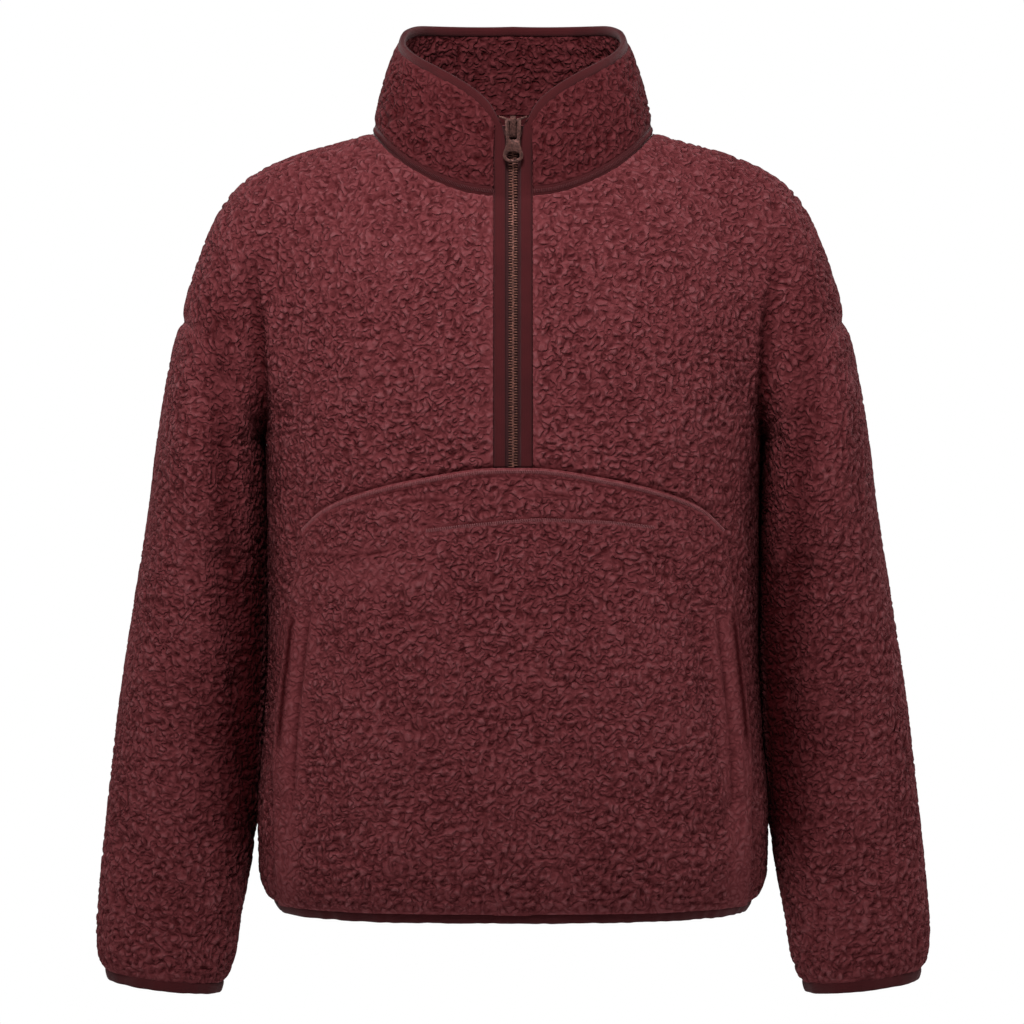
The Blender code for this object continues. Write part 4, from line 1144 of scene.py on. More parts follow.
def make_curl_group():
    """Fine curls: bent cells with a soft groove round each, long worms across them and loose fibres; the
    tone paints shade into the grooves.
    """
    group, given, result = new_group(
        "fine_curls",
        (("Place", "NodeSocketVector", None), ("Scale", "NodeSocketFloat", CURL_SCALE),
         ("Calm", "NodeSocketFloat", 0.0), ("Fibre", "NodeSocketFloat", 0.10)),
        (("Height", "NodeSocketFloat"), ("Tone", "NodeSocketFloat")),
    )
    bent = given["Place"]
    for scale, reach in CURL_BENDS:
        bent = shifted(group, bent, scale, reach)
    cells = {"Vector": bent, "Scale": given["Scale"]}
    edge = add_node(group, "ShaderNodeTexVoronoi", cells, feature="DISTANCE_TO_EDGE").outputs["Distance"]
    groove = ramp(group, edge, 0.0, GROOVE_WIDTH)
    groove = calc(group, "MULTIPLY_ADD", groove, GROOVE_DEPTH, 1 - GROOVE_DEPTH)
    from_middle = calc(group, "SUBTRACT", noise(group, bent, WORM_SCALE, 0.0), 0.5)
    worm = ramp(group, calc(group, "ABSOLUTE", from_middle), 0.0, WORM_WIDTH)
    worm = calc(group, "MULTIPLY_ADD", worm, WORM_DEPTH, 1 - WORM_DEPTH)
    depth = calc(group, "SUBTRACT", 1.0, calc(group, "MULTIPLY", groove, worm))
    lower = ramp(group, noise(group, given["Place"], SLOW_SCALE, 2.0), *SLOW_RANGE, 1.0, LOWER_CURLS)
    relief = calc(group, "MULTIPLY", lower, calc(group, "SUBTRACT", 1.0, given["Calm"]))
    # painted shade: how far the grooves darken the tone, which colours the pile
    groove_shade = calc(group, "MULTIPLY_ADD", relief, 1 - LEAST_GROOVE_SHADE, LEAST_GROOVE_SHADE)
    fibre = calc(group, "SUBTRACT", noise(group, given["Place"], FIBRE_SCALE, 2.0), 0.5)
    loose = calc(group, "MULTIPLY", fibre, given["Fibre"])
    for output, share in (("Height", relief), ("Tone", groove_shade)):
        dug = calc(group, "MULTIPLY_ADD", depth, calc(group, "MULTIPLY", share, -1.0), 1.0)
        group.links.new(calc(group, "ADD", dug, loose), result[output])
    return group


CURLS = make_curl_group()

# %% Sherpa
# Tone and colour at a groove, half way up and at a tip: the groove's dark colour is painted shade, the
# middle one is the cloth's own burgundy, and the tip's lighter, greyer one is a painted highlight
PILE_COLOURS = (
    (0.12, (0.024, 0.0014, 0.0021, 1)),
    (0.66, (0.101, 0.0215, 0.0245, 1)),
    (0.92, (0.128, 0.0370, 0.0410, 1)),
)
PILE_IN_TONE = 0.34         # share of the relief in the tone, whose grooves get painted shade; the fine curls have the rest
CALMED = 0.8                # how much pressed pile loses of its fine curls
# most that painted shade in folds, seams and between body and sleeve takes off the pile's tone
PAINTED_SHADE_DARKNESS = 0.85
CURL_BUMP = 0.0032          # height of the fine curls, metres


def make_sherpa():
    """Burgundy sherpa with hardly any gloss, with painted shade in its grooves, folds and seams and a
    painted highlight on its tips.
    """
    material, tree, shader = new_finish("sherpa_pile", 0.95)
    shader.inputs["Specular IOR Level"].default_value = 0.05
    calm = calc(tree, "MULTIPLY", kept_number(tree, "flat"), CALMED)
    curls = placed_group(tree, CURLS, {"Place": own_place(tree), "Calm": calm})
    fine_tone = calc(tree, "MULTIPLY", curls["Tone"], 1 - PILE_IN_TONE)
    tone = calc(tree, "MULTIPLY_ADD", kept_number(tree, "pile"), PILE_IN_TONE, fine_tone)
    # painted shade: the tone is darkened where the kept painted-shade value is high
    light_left = calc(tree, "MULTIPLY_ADD", kept_number(tree, "painted_shade"), -PAINTED_SHADE_DARKNESS, 1.0)
    tone = calc(tree, "MULTIPLY", tone, light_left)
    colours = add_node(tree, "ShaderNodeValToRGB", {"Fac": tone})
    stops = colours.color_ramp.elements
    stops[0].position, stops[0].color = PILE_COLOURS[0]
    stops[1].position, stops[1].color = PILE_COLOURS[2]
    middle = stops.new(PILE_COLOURS[1][0])
    middle.color = PILE_COLOURS[1][1]
    tree.links.new(colours.outputs[0], shader.inputs["Base Color"])
    bumped(tree, shader, curls["Height"], 1.0, CURL_BUMP)
    return material


SHERPA = make_sherpa()
print("finish", SHERPA.name)

# %% [markdown]
# ## Front and back
#
# The front is cut in one piece on the fold below the zip, with a slit for the
# zip. The back is one piece too and rises higher at the neck. Both carry the top
# of the dropped shoulder. Half a panel is worked out on each side, because the
# creases differ, and a narrow strip joins the halves at the centre.

# %% Front and back
STRIP_FACES = 15

# Rows and columns of the solids' faces where a seam turns a corner, and how many
# even steps lie between them
FRONT_ROW_MARKS = (0, POCKET_ROWS, LOWER_ROWS, LOWER_ROWS + NECK_STARTS, LOWER_ROWS + UPPER_ROWS)
FRONT_ROW_COUNTS = (153, 24, 75, 60)
FRONT_COLUMN_MARKS = (0, FRONT_COLUMNS)
FRONT_COLUMN_COUNTS = (126,)
BACK_ROW_MARKS = (0, LOWER_ROWS, LOWER_ROWS + UPPER_ROWS)
BACK_ROW_COUNTS = (180, 120)
BACK_COLUMN_MARKS = (0, BACK_NECK_COLUMNS, BACK_COLUMNS)
BACK_COLUMN_COUNTS = (54, 78)

OPENING_TOP = -384.0         # of the pocket, at each side
OPENING_BOTTOM = -530.0
ARCH_END = 168.0             # x where the groove along the pocket's arch has ended
ARCH_GROOVE_ABOVE = 0.6      # middle of that groove above the arch's edge, mm
ARCH_GROOVE_WIDTH = 2.0
ARCH_GROOVE_DEPTH = 1.5
# how much shade is painted into the groove along the arch
ARCH_GROOVE_PAINTED_SHADE = 0.8
GAP_BESIDE = 1.6             # middle of the groove beside an opening
GAP_WIDTH = 3.6
GAP_DEPTH = 2.2
GROOVE_FLATNESS = 0.7


def joined_halves(halves, surface):
    """Left and right half of a grid, joined by a strip at the centre; surface(x, z) gives its points."""
    left, right = halves
    x = np.linspace(-CENTRE_HALF_WIDTH, CENTRE_HALF_WIDTH, STRIP_FACES + 1)[1:-1]
    z = (left[:, :1, 2] + right[:, :1, 2]) / 2
    strip = surface(np.repeat(x[None], len(z), axis=0), np.repeat(z, len(x), axis=1))
    return np.concatenate([left[:, ::-1], strip, right], axis=1)


def panel_grid(side):
    """Even grid of a whole body panel, from -X to +X, with its strip at the centre."""
    places = half_panel_places(side)
    marks = (BACK_ROW_MARKS, BACK_ROW_COUNTS, BACK_COLUMN_MARKS, BACK_COLUMN_COUNTS)
    if side > 0:
        marks = (FRONT_ROW_MARKS, FRONT_ROW_COUNTS, FRONT_COLUMN_MARKS, FRONT_COLUMN_COUNTS)

    def surface(x, z):
        return on_cloth(body_squared, x, z, side)

    halves = [evened_both(surface(places[..., 0] * hand, places[..., 1]), *marks) for hand in (-1, 1)]
    return joined_halves(halves, surface)


def kept_on(side):
    """A function that holds points on one side of the side seam plane, but for the lap in the seam."""
    def keep(points):
        points = points.copy()
        limit = side_plane(points[..., 0], points[..., 2]) + side * SEAM_LAP / 2
        points[..., 1] = side * np.minimum(side * points[..., 1], side * limit)
        return points

    return keep


def in_slit(row, column):
    """Blocks of the centre strip above the foot of the zip."""
    first = FRONT_COLUMN_COUNTS[0] // STEP
    above = row >= FRONT_ROW_COUNTS[0] // STEP
    return above & (column >= first) & (column < first + STRIP_FACES // STEP)


def front_shape(points):
    """Pile pressed down along the pocket's arch and beside its openings, with painted shade in both
    grooves.
    """
    x, z = np.abs(points[..., 0]), points[..., 2]
    above_arch = z - faired(POCKET_TOP, 1, x)
    arch = eased((ARCH_END - x) / 6.0) * bell(above_arch, ARCH_GROOVE_WIDTH, ARCH_GROOVE_ABOVE)
    beside = x - faired(POCKET_SIDE, 1, z)
    opening = eased((OPENING_TOP + 8 - z) / 16.0) * eased((z - OPENING_BOTTOM - 30) / 30.0)
    gap = opening * bell(beside, GAP_WIDTH, GAP_BESIDE)
    flat = GROOVE_FLATNESS * np.maximum(arch, gap)
    rise = -ARCH_GROOVE_DEPTH * arch - GAP_DEPTH * gap
    # painted shade in the groove along the arch and in the gap beside each opening
    return flat, rise, np.maximum(ARCH_GROOVE_PAINTED_SHADE * arch, gap)


front_grid = panel_grid(1)
front, front_area = make_cloth("front_fleece", "front", front_grid, FLEECE_WALL, SHERPA,
                               missing=in_slit, keep=kept_on(1), shape=front_shape)
back_grid = panel_grid(-1)
back, back_area = make_cloth("back_fleece", "back", back_grid, FLEECE_WALL, SHERPA, keep=kept_on(-1))

# %% [markdown]
# ## Sleeves
#
# A sleeve is one sheet sewn into a tube under the arm. Its head is shallow,
# because the shoulder is dropped: most of the shoulder belongs to the body. Below
# the underarm the inner side of a hanging sleeve rests against the body. Its places
# are moved in there, where pushing the two pieces apart would leave gaps.

# %% Sleeves
SLEEVE_ROWS = 15
SLEEVE_ROW_COUNT = 249
SLEEVE_RING_COUNT = 174
SEAM_FINE = 6                # fine places of the armhole for each face of the solids
CUFF_LEVEL = -680.0
REST_EASE_TOP = 12.0         # height over which the sleeve comes to rest against the body
REST_EASE_BOTTOM = 28.0
HANDS = (("left", 1), ("right", -1))


def cuff_height(x):
    """Height of the sleeve's lower edge."""
    slope = (CUFF_OUTER[1] - CUFF_INNER[1]) / (CUFF_OUTER[0] - CUFF_INNER[0])
    return CUFF_INNER[1] + slope * (np.abs(x) - CUFF_INNER[0])


def rest_reach(x, z):
    """How far the inner side of a hanging sleeve moves in, to rest against the body."""
    outside = outer_x(z)
    inside = faired(ARM, 1, z)
    inner_share = np.clip((outside - np.abs(x)) / (outside - inside), 0, 1)
    rests = (eased((REST_TOP - z) / REST_EASE_TOP)
             * eased((z - REST_BOTTOM + REST_EASE_BOTTOM / 2) / REST_EASE_BOTTOM))
    return (inside - faired(TORSO, 1, z) - REST_CLEARANCE) * rests * inner_share ** 4


def sleeve_grid(hand):
    """Fine rings of a sleeve from the armhole seam to the top of its cuff binding."""
    count = UPPER_ROWS * SEAM_FINE
    seam = armhole_places(count)
    turn = np.linspace(math.pi, 0, count + 1)
    share = np.linspace(0, 1, SLEEVE_ROWS * FINE + 1)[:, None]
    bottom = cuff_height(arm_x(turn, CUFF_LEVEL)) + BINDING_WIDTH + SEAM_GAP
    z = seam[:, 1] + (bottom - seam[:, 1]) * share
    x = hand * arm_x(turn[None], z)
    x[0] = hand * seam[:, 0]
    halves = []
    for side in (1, -1):
        grid = on_cloth(arm_squared, x, z, side)
        grid[..., 0] -= hand * rest_reach(x, z)
        grid[0] = on_cloth(body_squared, x[0], z[0], side)
        grid[0, :, 0] -= hand * SEAM_LAP
        halves.append(grid)
    return np.concatenate([halves[0], halves[1][:, -2:0:-1]], axis=1)


def even_ring(grid, count):
    """The rings of a grid read at even steps round them."""
    closed = closed_ring(grid).transpose(1, 0, 2)
    return evened(closed, [0, len(closed) - 1], [count])[:-1].transpose(1, 0, 2)


sleeves = {}
sleeve_grids = {}
sleeve_areas = {}
for word, hand in HANDS:
    fine = sleeve_grid(hand)
    even = evened(even_ring(fine, SLEEVE_RING_COUNT), [0, len(fine) - 1], [SLEEVE_ROW_COUNT])
    sleeve_grids[word] = even
    sleeves[word], sleeve_areas[word] = make_cloth("sleeve_fleece_" + word, "sleeve_" + word, even,
                                                   FLEECE_WALL, SHERPA, ring=True)

# %% [markdown]
# ## Pouch pocket
#
# The pocket is a patch laid on the front: sewn in along its arched top and into
# the hem, with an opening at each side. It is made from the front's own places,
# moved out, so it follows every fold below it. At the arch the stitching presses it
# down onto the front. Beside each opening its edge is turned in, which leaves
# ridges with a stitched groove between them. These small forms are rows of rounded
# ridges beside a line: each row gives a height, a place and a half width.

# %% Pocket
POCKET_ROW_COUNT = 156
POCKET_COLUMN_COUNT = 78
POCKET_PRESSED = 2.3         # how far the arch seam presses the pocket, mm
POCKET_THINNED = 1.4         # how much thinner its cloth is than the solid's wall
STITCHES_BELOW_ARCH = 6.2    # row of stitches below the arch's edge
TURNED_IN_WIDTH = 13.0       # turned-in edge beside an opening, as far as its stitches
ARCH_RIDGES = ((0.9, 2.8, 1.9), (-1.0, STITCHES_BELOW_ARCH, 1.2), (0.6, 8.8, 2.0))
OPENING_RIDGES = ((1.9, 6.0, 3.8), (-1.6, TURNED_IN_WIDTH, 1.6), (1.4, 19.0, 4.4))
PATCH_X, PATCH_HALF_WIDTH = -114, 40       # a place where the pile was pressed flatter
PATCH_Z, PATCH_HALF_HEIGHT = -352, 15
STITCH_GROOVE_DEPTH = 1.4
STITCH_GROOVE_WIDTH = 1.2
THREAD_SHIFT = 2.0           # how far below its groove a row of thread lies


def pocket_lift(x, z):
    """How far the pocket's outer skin lies off the front's skin."""
    top = faired(POCKET_TOP, 1, np.abs(x))
    up = np.clip((z - BODY_BOTTOM) / (top - BODY_BOTTOM), 0, 1)
    wall = POCKET_WALL_AT_HEM + (POCKET_WALL - POCKET_WALL_AT_HEM) * eased(up * POCKET_ROWS)
    pressed = POCKET_PRESSED * (1 - eased((top - z) / 11.0))
    return SEAM_GAP + POCKET_SLACK * np.sin(math.pi * up) + wall - pressed


def on_pocket(x, z):
    """Points and normals of the pocket's outer skin."""
    grid = on_cloth(body_squared, x, z, 1)
    grid[..., :3] += grid[..., 3:] * pocket_lift(x, z)[..., None]
    return grid


def pocket_grid():
    """Even grid of the pocket from -X to +X."""
    places = pocket_rows()[:POCKET_ROWS * FINE + 1, :POCKET_COLUMNS * FINE + 1]
    halves = []
    for hand in (-1, 1):
        fine = on_pocket(places[..., 0] * hand, places[..., 1])
        halves.append(evened_both(fine, (0, POCKET_ROWS), (POCKET_ROW_COUNT,),
                                  (0, POCKET_COLUMNS), (POCKET_COLUMN_COUNT,)))
    return joined_halves(halves, on_pocket)


# Stitched lines on the pocket: whether they show thread, then x, z of their run
STITCH_LINES = (
    (True, ((-66, -317.5), (-30, -313.5), (22, -309.5), (66, -311), (107, -315))),
    (False, ((-84, -295), (-60, -294), (-38, -294))),
    (False, ((12, -290.5), (28, -290), (44, -291))),
    (False, ((-162, -336), (-128, -337), (-96, -333))),
)


def line_gap(x, z, line):
    """Distance of places to a line of the front view."""
    points = fair_line(line, 24)
    gaps = [beside_run(x, z, start, end)[2] for start, end in zip(points, points[1:])]
    return np.minimum.reduce(gaps)


def ridges(distance, rows):
    """Height of rounded ridges beside a line: height, place and half width of each."""
    return sum(height * bell(distance, half_width, place) for height, place, half_width in rows)


def pocket_shape(points):
    """Flattened pile, small ridges and painted shade of the pocket: arch, openings and stitched lines."""
    x, z = points[..., 0], points[..., 2]
    below_arch = faired(POCKET_TOP, 1, np.abs(x)) - z
    from_edge = faired(POCKET_SIDE, 1, z) - np.abs(x)
    below_top = eased((OPENING_TOP + 12 - z) / 24.0)
    turned_in = below_top * eased((z - OPENING_BOTTOM + 12) / 30.0)
    gaping = below_top * eased((z - OPENING_BOTTOM - 30) / 30.0)
    below_opening = eased((OPENING_BOTTOM + 16 - z) / 24.0)
    rise = ridges(below_arch, ARCH_RIDGES) + turned_in * ridges(from_edge, OPENING_RIDGES)
    flat = np.maximum.reduce([
        0.9 * (1 - eased((below_arch - 5.0) / 4.0)),
        0.7 * turned_in * (1 - eased((from_edge - 17.0) / 9.0)),
        0.6 * below_opening * (1 - eased((from_edge - 12.0) / 8.0)),
        0.6 * bell(x, PATCH_HALF_WIDTH, PATCH_X) * bell(z, PATCH_HALF_HEIGHT, PATCH_Z),
    ])
    # painted shade below the arch's stitches, in the turned-in edge's groove and in the gap of each opening
    painted_shade = np.maximum.reduce([
        0.6 * bell(below_arch, 1.2, STITCHES_BELOW_ARCH),
        0.6 * turned_in * bell(from_edge, 1.7, TURNED_IN_WIDTH),
        gaping * bell(from_edge, 2.8, -0.5),
    ])
    for thread, line in STITCH_LINES:
        flat = np.maximum(flat, 0.85 * (1 - eased((line_gap(x, z, line) - 1.5) / 3.5)))
        gap_above = line_gap(x, z - (THREAD_SHIFT if thread else 0.0), line)
        groove = bell(gap_above, STITCH_GROOVE_WIDTH)
        rise = rise - STITCH_GROOVE_DEPTH * groove
        # painted shade in each stitched groove
        painted_shade = np.maximum(painted_shade, 0.8 * groove)
    return flat, rise, painted_shade


pocket_cut = pocket_grid()
pocket, pocket_area = make_cloth("pouch_pocket", "pocket", pocket_cut, POCKET_WALL - POCKET_THINNED, SHERPA,
                                 shape=pocket_shape)

# %% [markdown]
# ## Collar
#
# The stand collar is a double band of the same fleece, so it shows curls on both
# sides. Its lower edge is the neck seam. Its upper edge falls in a round curve to
# the zip. It is worked out as a ruled skin between those two lines, a little
# barrelled, and both skins get the pile.

# %% Collar
COLLAR_COLUMNS = 288
COLLAR_ROWS = 42
COLLAR_BULGE = 2.5
COLLAR_STARTS = 1.0          # above the neck band, mm
COLLAR_ENDS = 5.6            # below the free edge
STEEPEST_EDGE = 1.4          # steepest slope of that edge that its strip is widened for
COLLAR_PAINTED_SHADE = 0.50          # painted shade over the whole collar, which makes its pile darker than the body's


def neck_point(turn):
    """Point of the neck seam at a turn from centre front (0) round either side to the back (pi)."""
    sideways = np.sign(turn) * NECK_HALF_WIDTH * np.sin(np.abs(turn))
    height = neck_height(np.abs(turn))
    front_depth = np.sqrt(np.maximum(body_squared(sideways, height, 1), 0))
    back_depth = np.sqrt(np.maximum(body_squared(sideways, height, -1), 0))
    in_front = np.abs(turn) < math.pi / 2
    y = side_plane(sideways, height) + np.where(in_front, -front_depth, back_depth)
    return np.stack([sideways, y, height], axis=-1)


def collar_top_point(turn):
    """Point of the collar's free edge at a turn."""
    x = COLLAR_TOP_HALF_WIDTH * np.sin(turn)
    y = COLLAR_TOP_CENTRE_Y - COLLAR_TOP_HALF_DEPTH * np.cos(turn)
    z = faired(COLLAR_TOP, 1, np.degrees(np.abs(turn)))
    return np.stack([x, y, z], axis=-1)


def even_turns(count):
    """Signed turns round the collar from the zip on one side, round the back, to the other."""
    start = math.asin(CENTRE_HALF_WIDTH / NECK_HALF_WIDTH)
    fine = np.linspace(start, math.tau - start, 1200)
    signed = np.where(fine > math.pi, fine - math.tau, fine)
    middle = (neck_point(signed) + collar_top_point(signed)) / 2
    distance = walked(middle)
    turns = np.interp(np.linspace(0, distance[-1], count + 1), distance, fine)
    return np.where(turns > math.pi, turns - math.tau, turns)


def collar_grid(turns, low, high, rows):
    """Collar points and normals between two heights above the neck seam, given for each turn."""
    base = neck_point(turns)
    top = collar_top_point(turns)
    for line in (base, top):
        line[0, 0] = CENTRE_HALF_WIDTH
        line[-1, 0] = -CENTRE_HALF_WIDTH
    height = np.linalg.norm(top - base, axis=1)
    start = low(turns, height) / height
    end = high(turns, height) / height
    share = np.linspace(0, 1, rows + 1)[:, None]
    w = mixed(start, end, share)
    around = np.gradient(base + top, axis=0)
    normal = np.cross(around, top - base)
    normal[[0, -1], 0] = 0.0
    normals = np.repeat(unit(normal)[None], rows + 1, axis=0)
    bulge = COLLAR_BULGE * np.sin(np.clip(w, 0, 1) * math.pi)
    points = base + (top - base) * w[..., None] + normals * bulge[..., None]
    return np.concatenate([points, normals], axis=-1)


def up_the_collar(width, turn):
    """How far up the collar a strip along its edge reaches, so that it is even across its own run."""
    step = 0.01
    rise = collar_top_point(np.abs(turn) + step) - collar_top_point(np.abs(turn))
    slope = np.minimum(rise[..., 2] / np.hypot(rise[..., 0], rise[..., 1]), STEEPEST_EDGE)
    return width * np.sqrt(1 + slope ** 2)


def seam_level(level):
    """The same height above the neck seam all round."""
    return lambda turn, height: np.full(len(turn), float(level))


def rim_level(width):
    """An even distance below the free edge."""
    return lambda turn, height: height - up_the_collar(width, turn)


collar_turns = even_turns(COLLAR_COLUMNS)
collar_fleece = collar_grid(collar_turns, seam_level(NECK_BAND_WIDTH + COLLAR_STARTS),
                            rim_level(COLLAR_ENDS), COLLAR_ROWS)
collar, collar_area = make_cloth("stand_collar", "collar", collar_fleece, COLLAR_WALL, SHERPA,
                                 shape=lambda points: (0.0, 0.0, COLLAR_PAINTED_SHADE), step=1)

# %% [markdown]
# ## Bindings
#
# A binding is a folded strip of smooth knit that wraps a raw edge. Hem, cuffs and
# collar have one, and the collar's runs on down both sides of the zip. Each is a
# bead: an oval section swept along its edge. The sweep also stores how far along
# and across each point lies, so that the knit's ribs follow the strip.

# %% Swept strips
PROFILE_POINTS = 16
PROFILE_SQUARE = 2.7
HALF_GIRTH = 2.6             # of the oval, in half widths


def oval():
    """Points of a squarish oval, across and out, one unit in each direction."""
    turn = np.arange(PROFILE_POINTS) / PROFILE_POINTS * math.tau
    round_points = np.stack([np.cos(turn), np.sin(turn)], axis=1)
    return np.sign(round_points) * np.abs(round_points) ** (2 / PROFILE_SQUARE)


def swept(name, node, centre, across, out, material, ring=False):
    """Sweep the oval along centre; across and out are its half axes at each place."""
    profile = oval()
    rows = centre[:, None] + across[:, None] * profile[None, :, :1] + out[:, None] * profile[None, :, 1:]
    count = len(centre)
    around = np.arange(PROFILE_POINTS)
    after = (around + 1) % PROFILE_POINTS
    faces = []
    for row in range(count if ring else count - 1):
        now = row * PROFILE_POINTS
        following = (row + 1) % count * PROFILE_POINTS
        faces += [[now + a, now + b, following + b, following + a] for a, b in zip(around, after)]
    if not ring:
        faces.append(list(around[::-1]))
        faces.append(list((count - 1) * PROFILE_POINTS + around))
    points = rows.reshape(-1, 3)
    volume = 0.0
    for face in faces:
        a, b, c = points[face[0]], points[face[1]], points[face[2]]
        volume += a @ np.cross(b, c)
        if len(face) == 4:
            volume += a @ np.cross(c, points[face[3]])
    if volume < 0:
        faces = [face[::-1] for face in faces]
    faces = [[int(i) for i in face] for face in faces]
    piece = new_piece(name, points, faces, material, node)
    along = walked(centre)
    if ring:
        along = along * round(along[-1]) / along[-1]
    girth = np.linalg.norm(across, axis=1) * HALF_GIRTH
    keep_number(piece.data, "along", np.repeat(along, PROFILE_POINTS))
    keep_number(piece.data, "across", np.outer(girth, np.sin(around / PROFILE_POINTS * math.pi)))
    print(name, "length", round(float(walked(centre)[-1])), "mm, faces", len(faces))
    return piece, float(walked(centre)[-1])


def even_lines(lines, count):
    """Several lines of the same places, read at count even steps of the first one."""
    distance = walked(lines[0])
    wanted = np.linspace(0, distance[-1], count)
    return [np.stack([np.interp(wanted, distance, line[:, axis]) for axis in range(3)], axis=1)
            for line in lines]


# %% Knit finish
LOOP_SLANT = 0.9             # how far a loop's legs lean, in radians of their row
ROW_RELIEF = 0.25
LEG_RELIEF = 0.22
FIBRE_RELIEF = 0.5
KNIT_BUMP = 0.6


def make_knit_group():
    """Height of a smooth knit: narrow ribs along the strip, with loops and stray fibres."""
    group, given, result = new_group(
        "knit_ribs",
        (("Along", "NodeSocketFloat", 0.0), ("Across", "NodeSocketFloat", 0.0),
         ("Pitch", "NodeSocketFloat", 0.9), ("Place", "NodeSocketVector", None)),
        (("Height", "NodeSocketFloat"), ("Worn", "NodeSocketFloat")),
    )
    row = calc(group, "MULTIPLY", calc(group, "DIVIDE", given["Across"], given["Pitch"]), math.tau)
    loop = calc(group, "MULTIPLY", calc(group, "DIVIDE", given["Along"], given["Pitch"]), math.tau)
    slant = calc(group, "MULTIPLY", calc(group, "SINE", row), LOOP_SLANT)
    leg = calc(group, "SINE", calc(group, "ADD", loop, slant))
    ribs = calc(group, "MULTIPLY_ADD", calc(group, "COSINE", row), ROW_RELIEF, 0.5)
    legs = calc(group, "MULTIPLY_ADD", leg, LEG_RELIEF, ribs)
    fibre = calc(group, "SUBTRACT", noise(group, given["Place"], 900.0, 2.0), 0.5)
    group.links.new(calc(group, "MULTIPLY_ADD", fibre, FIBRE_RELIEF, legs), result["Height"])
    group.links.new(noise(group, given["Place"], 55.0, 2.0), result["Worn"])
    return group


KNIT = make_knit_group()


def two_tone(tree, mask, dark, light):
    """Mix two colours by a mask."""
    mix = add_node(tree, "ShaderNodeMix", {"Factor": mask}, data_type="RGBA")
    mix.inputs["A"].default_value = dark
    mix.inputs["B"].default_value = light
    return mix.outputs["Result"]


def make_knit(name, dark, light, pitch, relief):
    """A smooth knit or woven strip in two tones: worn patches at random, and painted shade between the
    ribs.
    """
    material, tree, shader = new_finish(name, 0.9, sheen=0.03)
    knit = placed_group(tree, KNIT, {
        "Place": own_place(tree), "Along": kept_number(tree, "along"),
        "Across": kept_number(tree, "across"), "Pitch": pitch,
    })
    # the mask mixes random worn patches with the ribs' height: the furrows between the ribs get painted
    # shade
    mask = calc(tree, "MULTIPLY_ADD", knit["Worn"], 0.6, calc(tree, "MULTIPLY", knit["Height"], 0.45))
    tree.links.new(two_tone(tree, mask, dark, light), shader.inputs["Base Color"])
    bumped(tree, shader, knit["Height"], KNIT_BUMP, relief)
    return material


# dark and light tone, distance between ribs in millimetres, relief in metres
BINDING = make_knit("binding_knit_finish", (0.020, 0.0013, 0.0020, 1), (0.046, 0.0046, 0.0060, 1),
                    0.9, 0.0003)
TAPE = make_knit("zip_tape_weave", (0.012, 0.003, 0.0035, 1), (0.036, 0.009, 0.010, 1),
                 0.7, 0.0002)
THREAD = make_knit("sewing_thread", (0.080, 0.020, 0.023, 1), (0.160, 0.056, 0.060, 1),
                   0.4, 0.0001)
DARK_THREAD = make_knit("neck_thread", (0.030, 0.0040, 0.0050, 1), (0.062, 0.0120, 0.0140, 1),
                        0.4, 0.0001)

# %% Hem and cuff bindings
HEM_SECTIONS = 480
CUFF_SECTIONS = 132
BEAD_FULLNESS = 0.55         # how much thicker than the plain strip the folded one is, mm
RIPPLE = 0.35                # small puckers that the stitching leaves
RIPPLE_SEED = 31
RIPPLE_WAVES = 12
RIPPLE_LENGTHS = (9.0, 20.0)
BEAD_LAP = 0.08              # how far the bead moves up over the fleece, in half widths
BEAD_WIDENING = 1.16
CUFF_TAPER = 2.2             # how far a cuff narrows over the width of its binding


def bound_edge(name, node, upper, lower, normals, count):
    """Binding between two rings of points."""
    closed = [np.concatenate([line, line[:1]]) for line in (upper, lower, normals)]
    upper, lower, normals = [line[:-1] for line in even_lines(closed, count + 1)]
    normals = unit(normals)
    ripple = wave_sum(upper, RIPPLE_SEED, RIPPLE_WAVES, RIPPLE_LENGTHS) * RIPPLE
    centre = (upper + lower) / 2 - normals * (BINDING_INSET + BINDING_WALL / 2 - ripple[:, None])
    out = normals * (BINDING_WALL / 2 + BEAD_FULLNESS)
    half = (upper - lower) / 2
    return swept(name, node, centre + half * BEAD_LAP, half * BEAD_WIDENING, out, BINDING,
                 ring=True)


def hem_ring(level, side):
    """Half of the hem at a level, from -X to +X."""
    drawn_in = faired(TORSO, 1, level) / faired(TORSO, 1, BODY_BOTTOM)
    spread = np.sin(np.linspace(0, 1, BACK_COLUMNS * FINE + 1) * math.pi / 2)
    half = faired(TORSO, 1, BODY_BOTTOM) * spread * drawn_in
    x = np.concatenate([-half[:0:-1], half])
    return on_cloth(body_squared, x, np.full(len(x), float(level)), side)


rings = []
for height_now in (HEM_HEIGHT + BINDING_WIDTH, HEM_HEIGHT):
    rings.append(np.concatenate([hem_ring(height_now, 1), hem_ring(height_now, -1)[-2:0:-1]]))
hem_binding, hem_length = bound_edge("hem_binding_strip", "hem_binding", rings[0][:, :3], rings[1][:, :3],
                                     rings[0][:, 3:], HEM_SECTIONS)

cuffs = {}
cuff_lengths = {}
for word, hand in HANDS:
    last = sleeve_grids[word][-1]
    upper = last[:, :3] - (0, 0, SEAM_GAP)
    lower = upper - (0, 0, BINDING_WIDTH)
    middle_x = (upper[:, 0].max() + upper[:, 0].min()) / 2
    half_x = (upper[:, 0].max() - upper[:, 0].min()) / 2
    lower[:, 0] -= CUFF_TAPER * (upper[:, 0] - middle_x) / half_x
    cuffs[word], cuff_lengths[word] = bound_edge("cuff_binding_strip_" + word, "cuff_binding_" + word,
                                                 upper, lower, last[:, 3:], CUFF_SECTIONS)

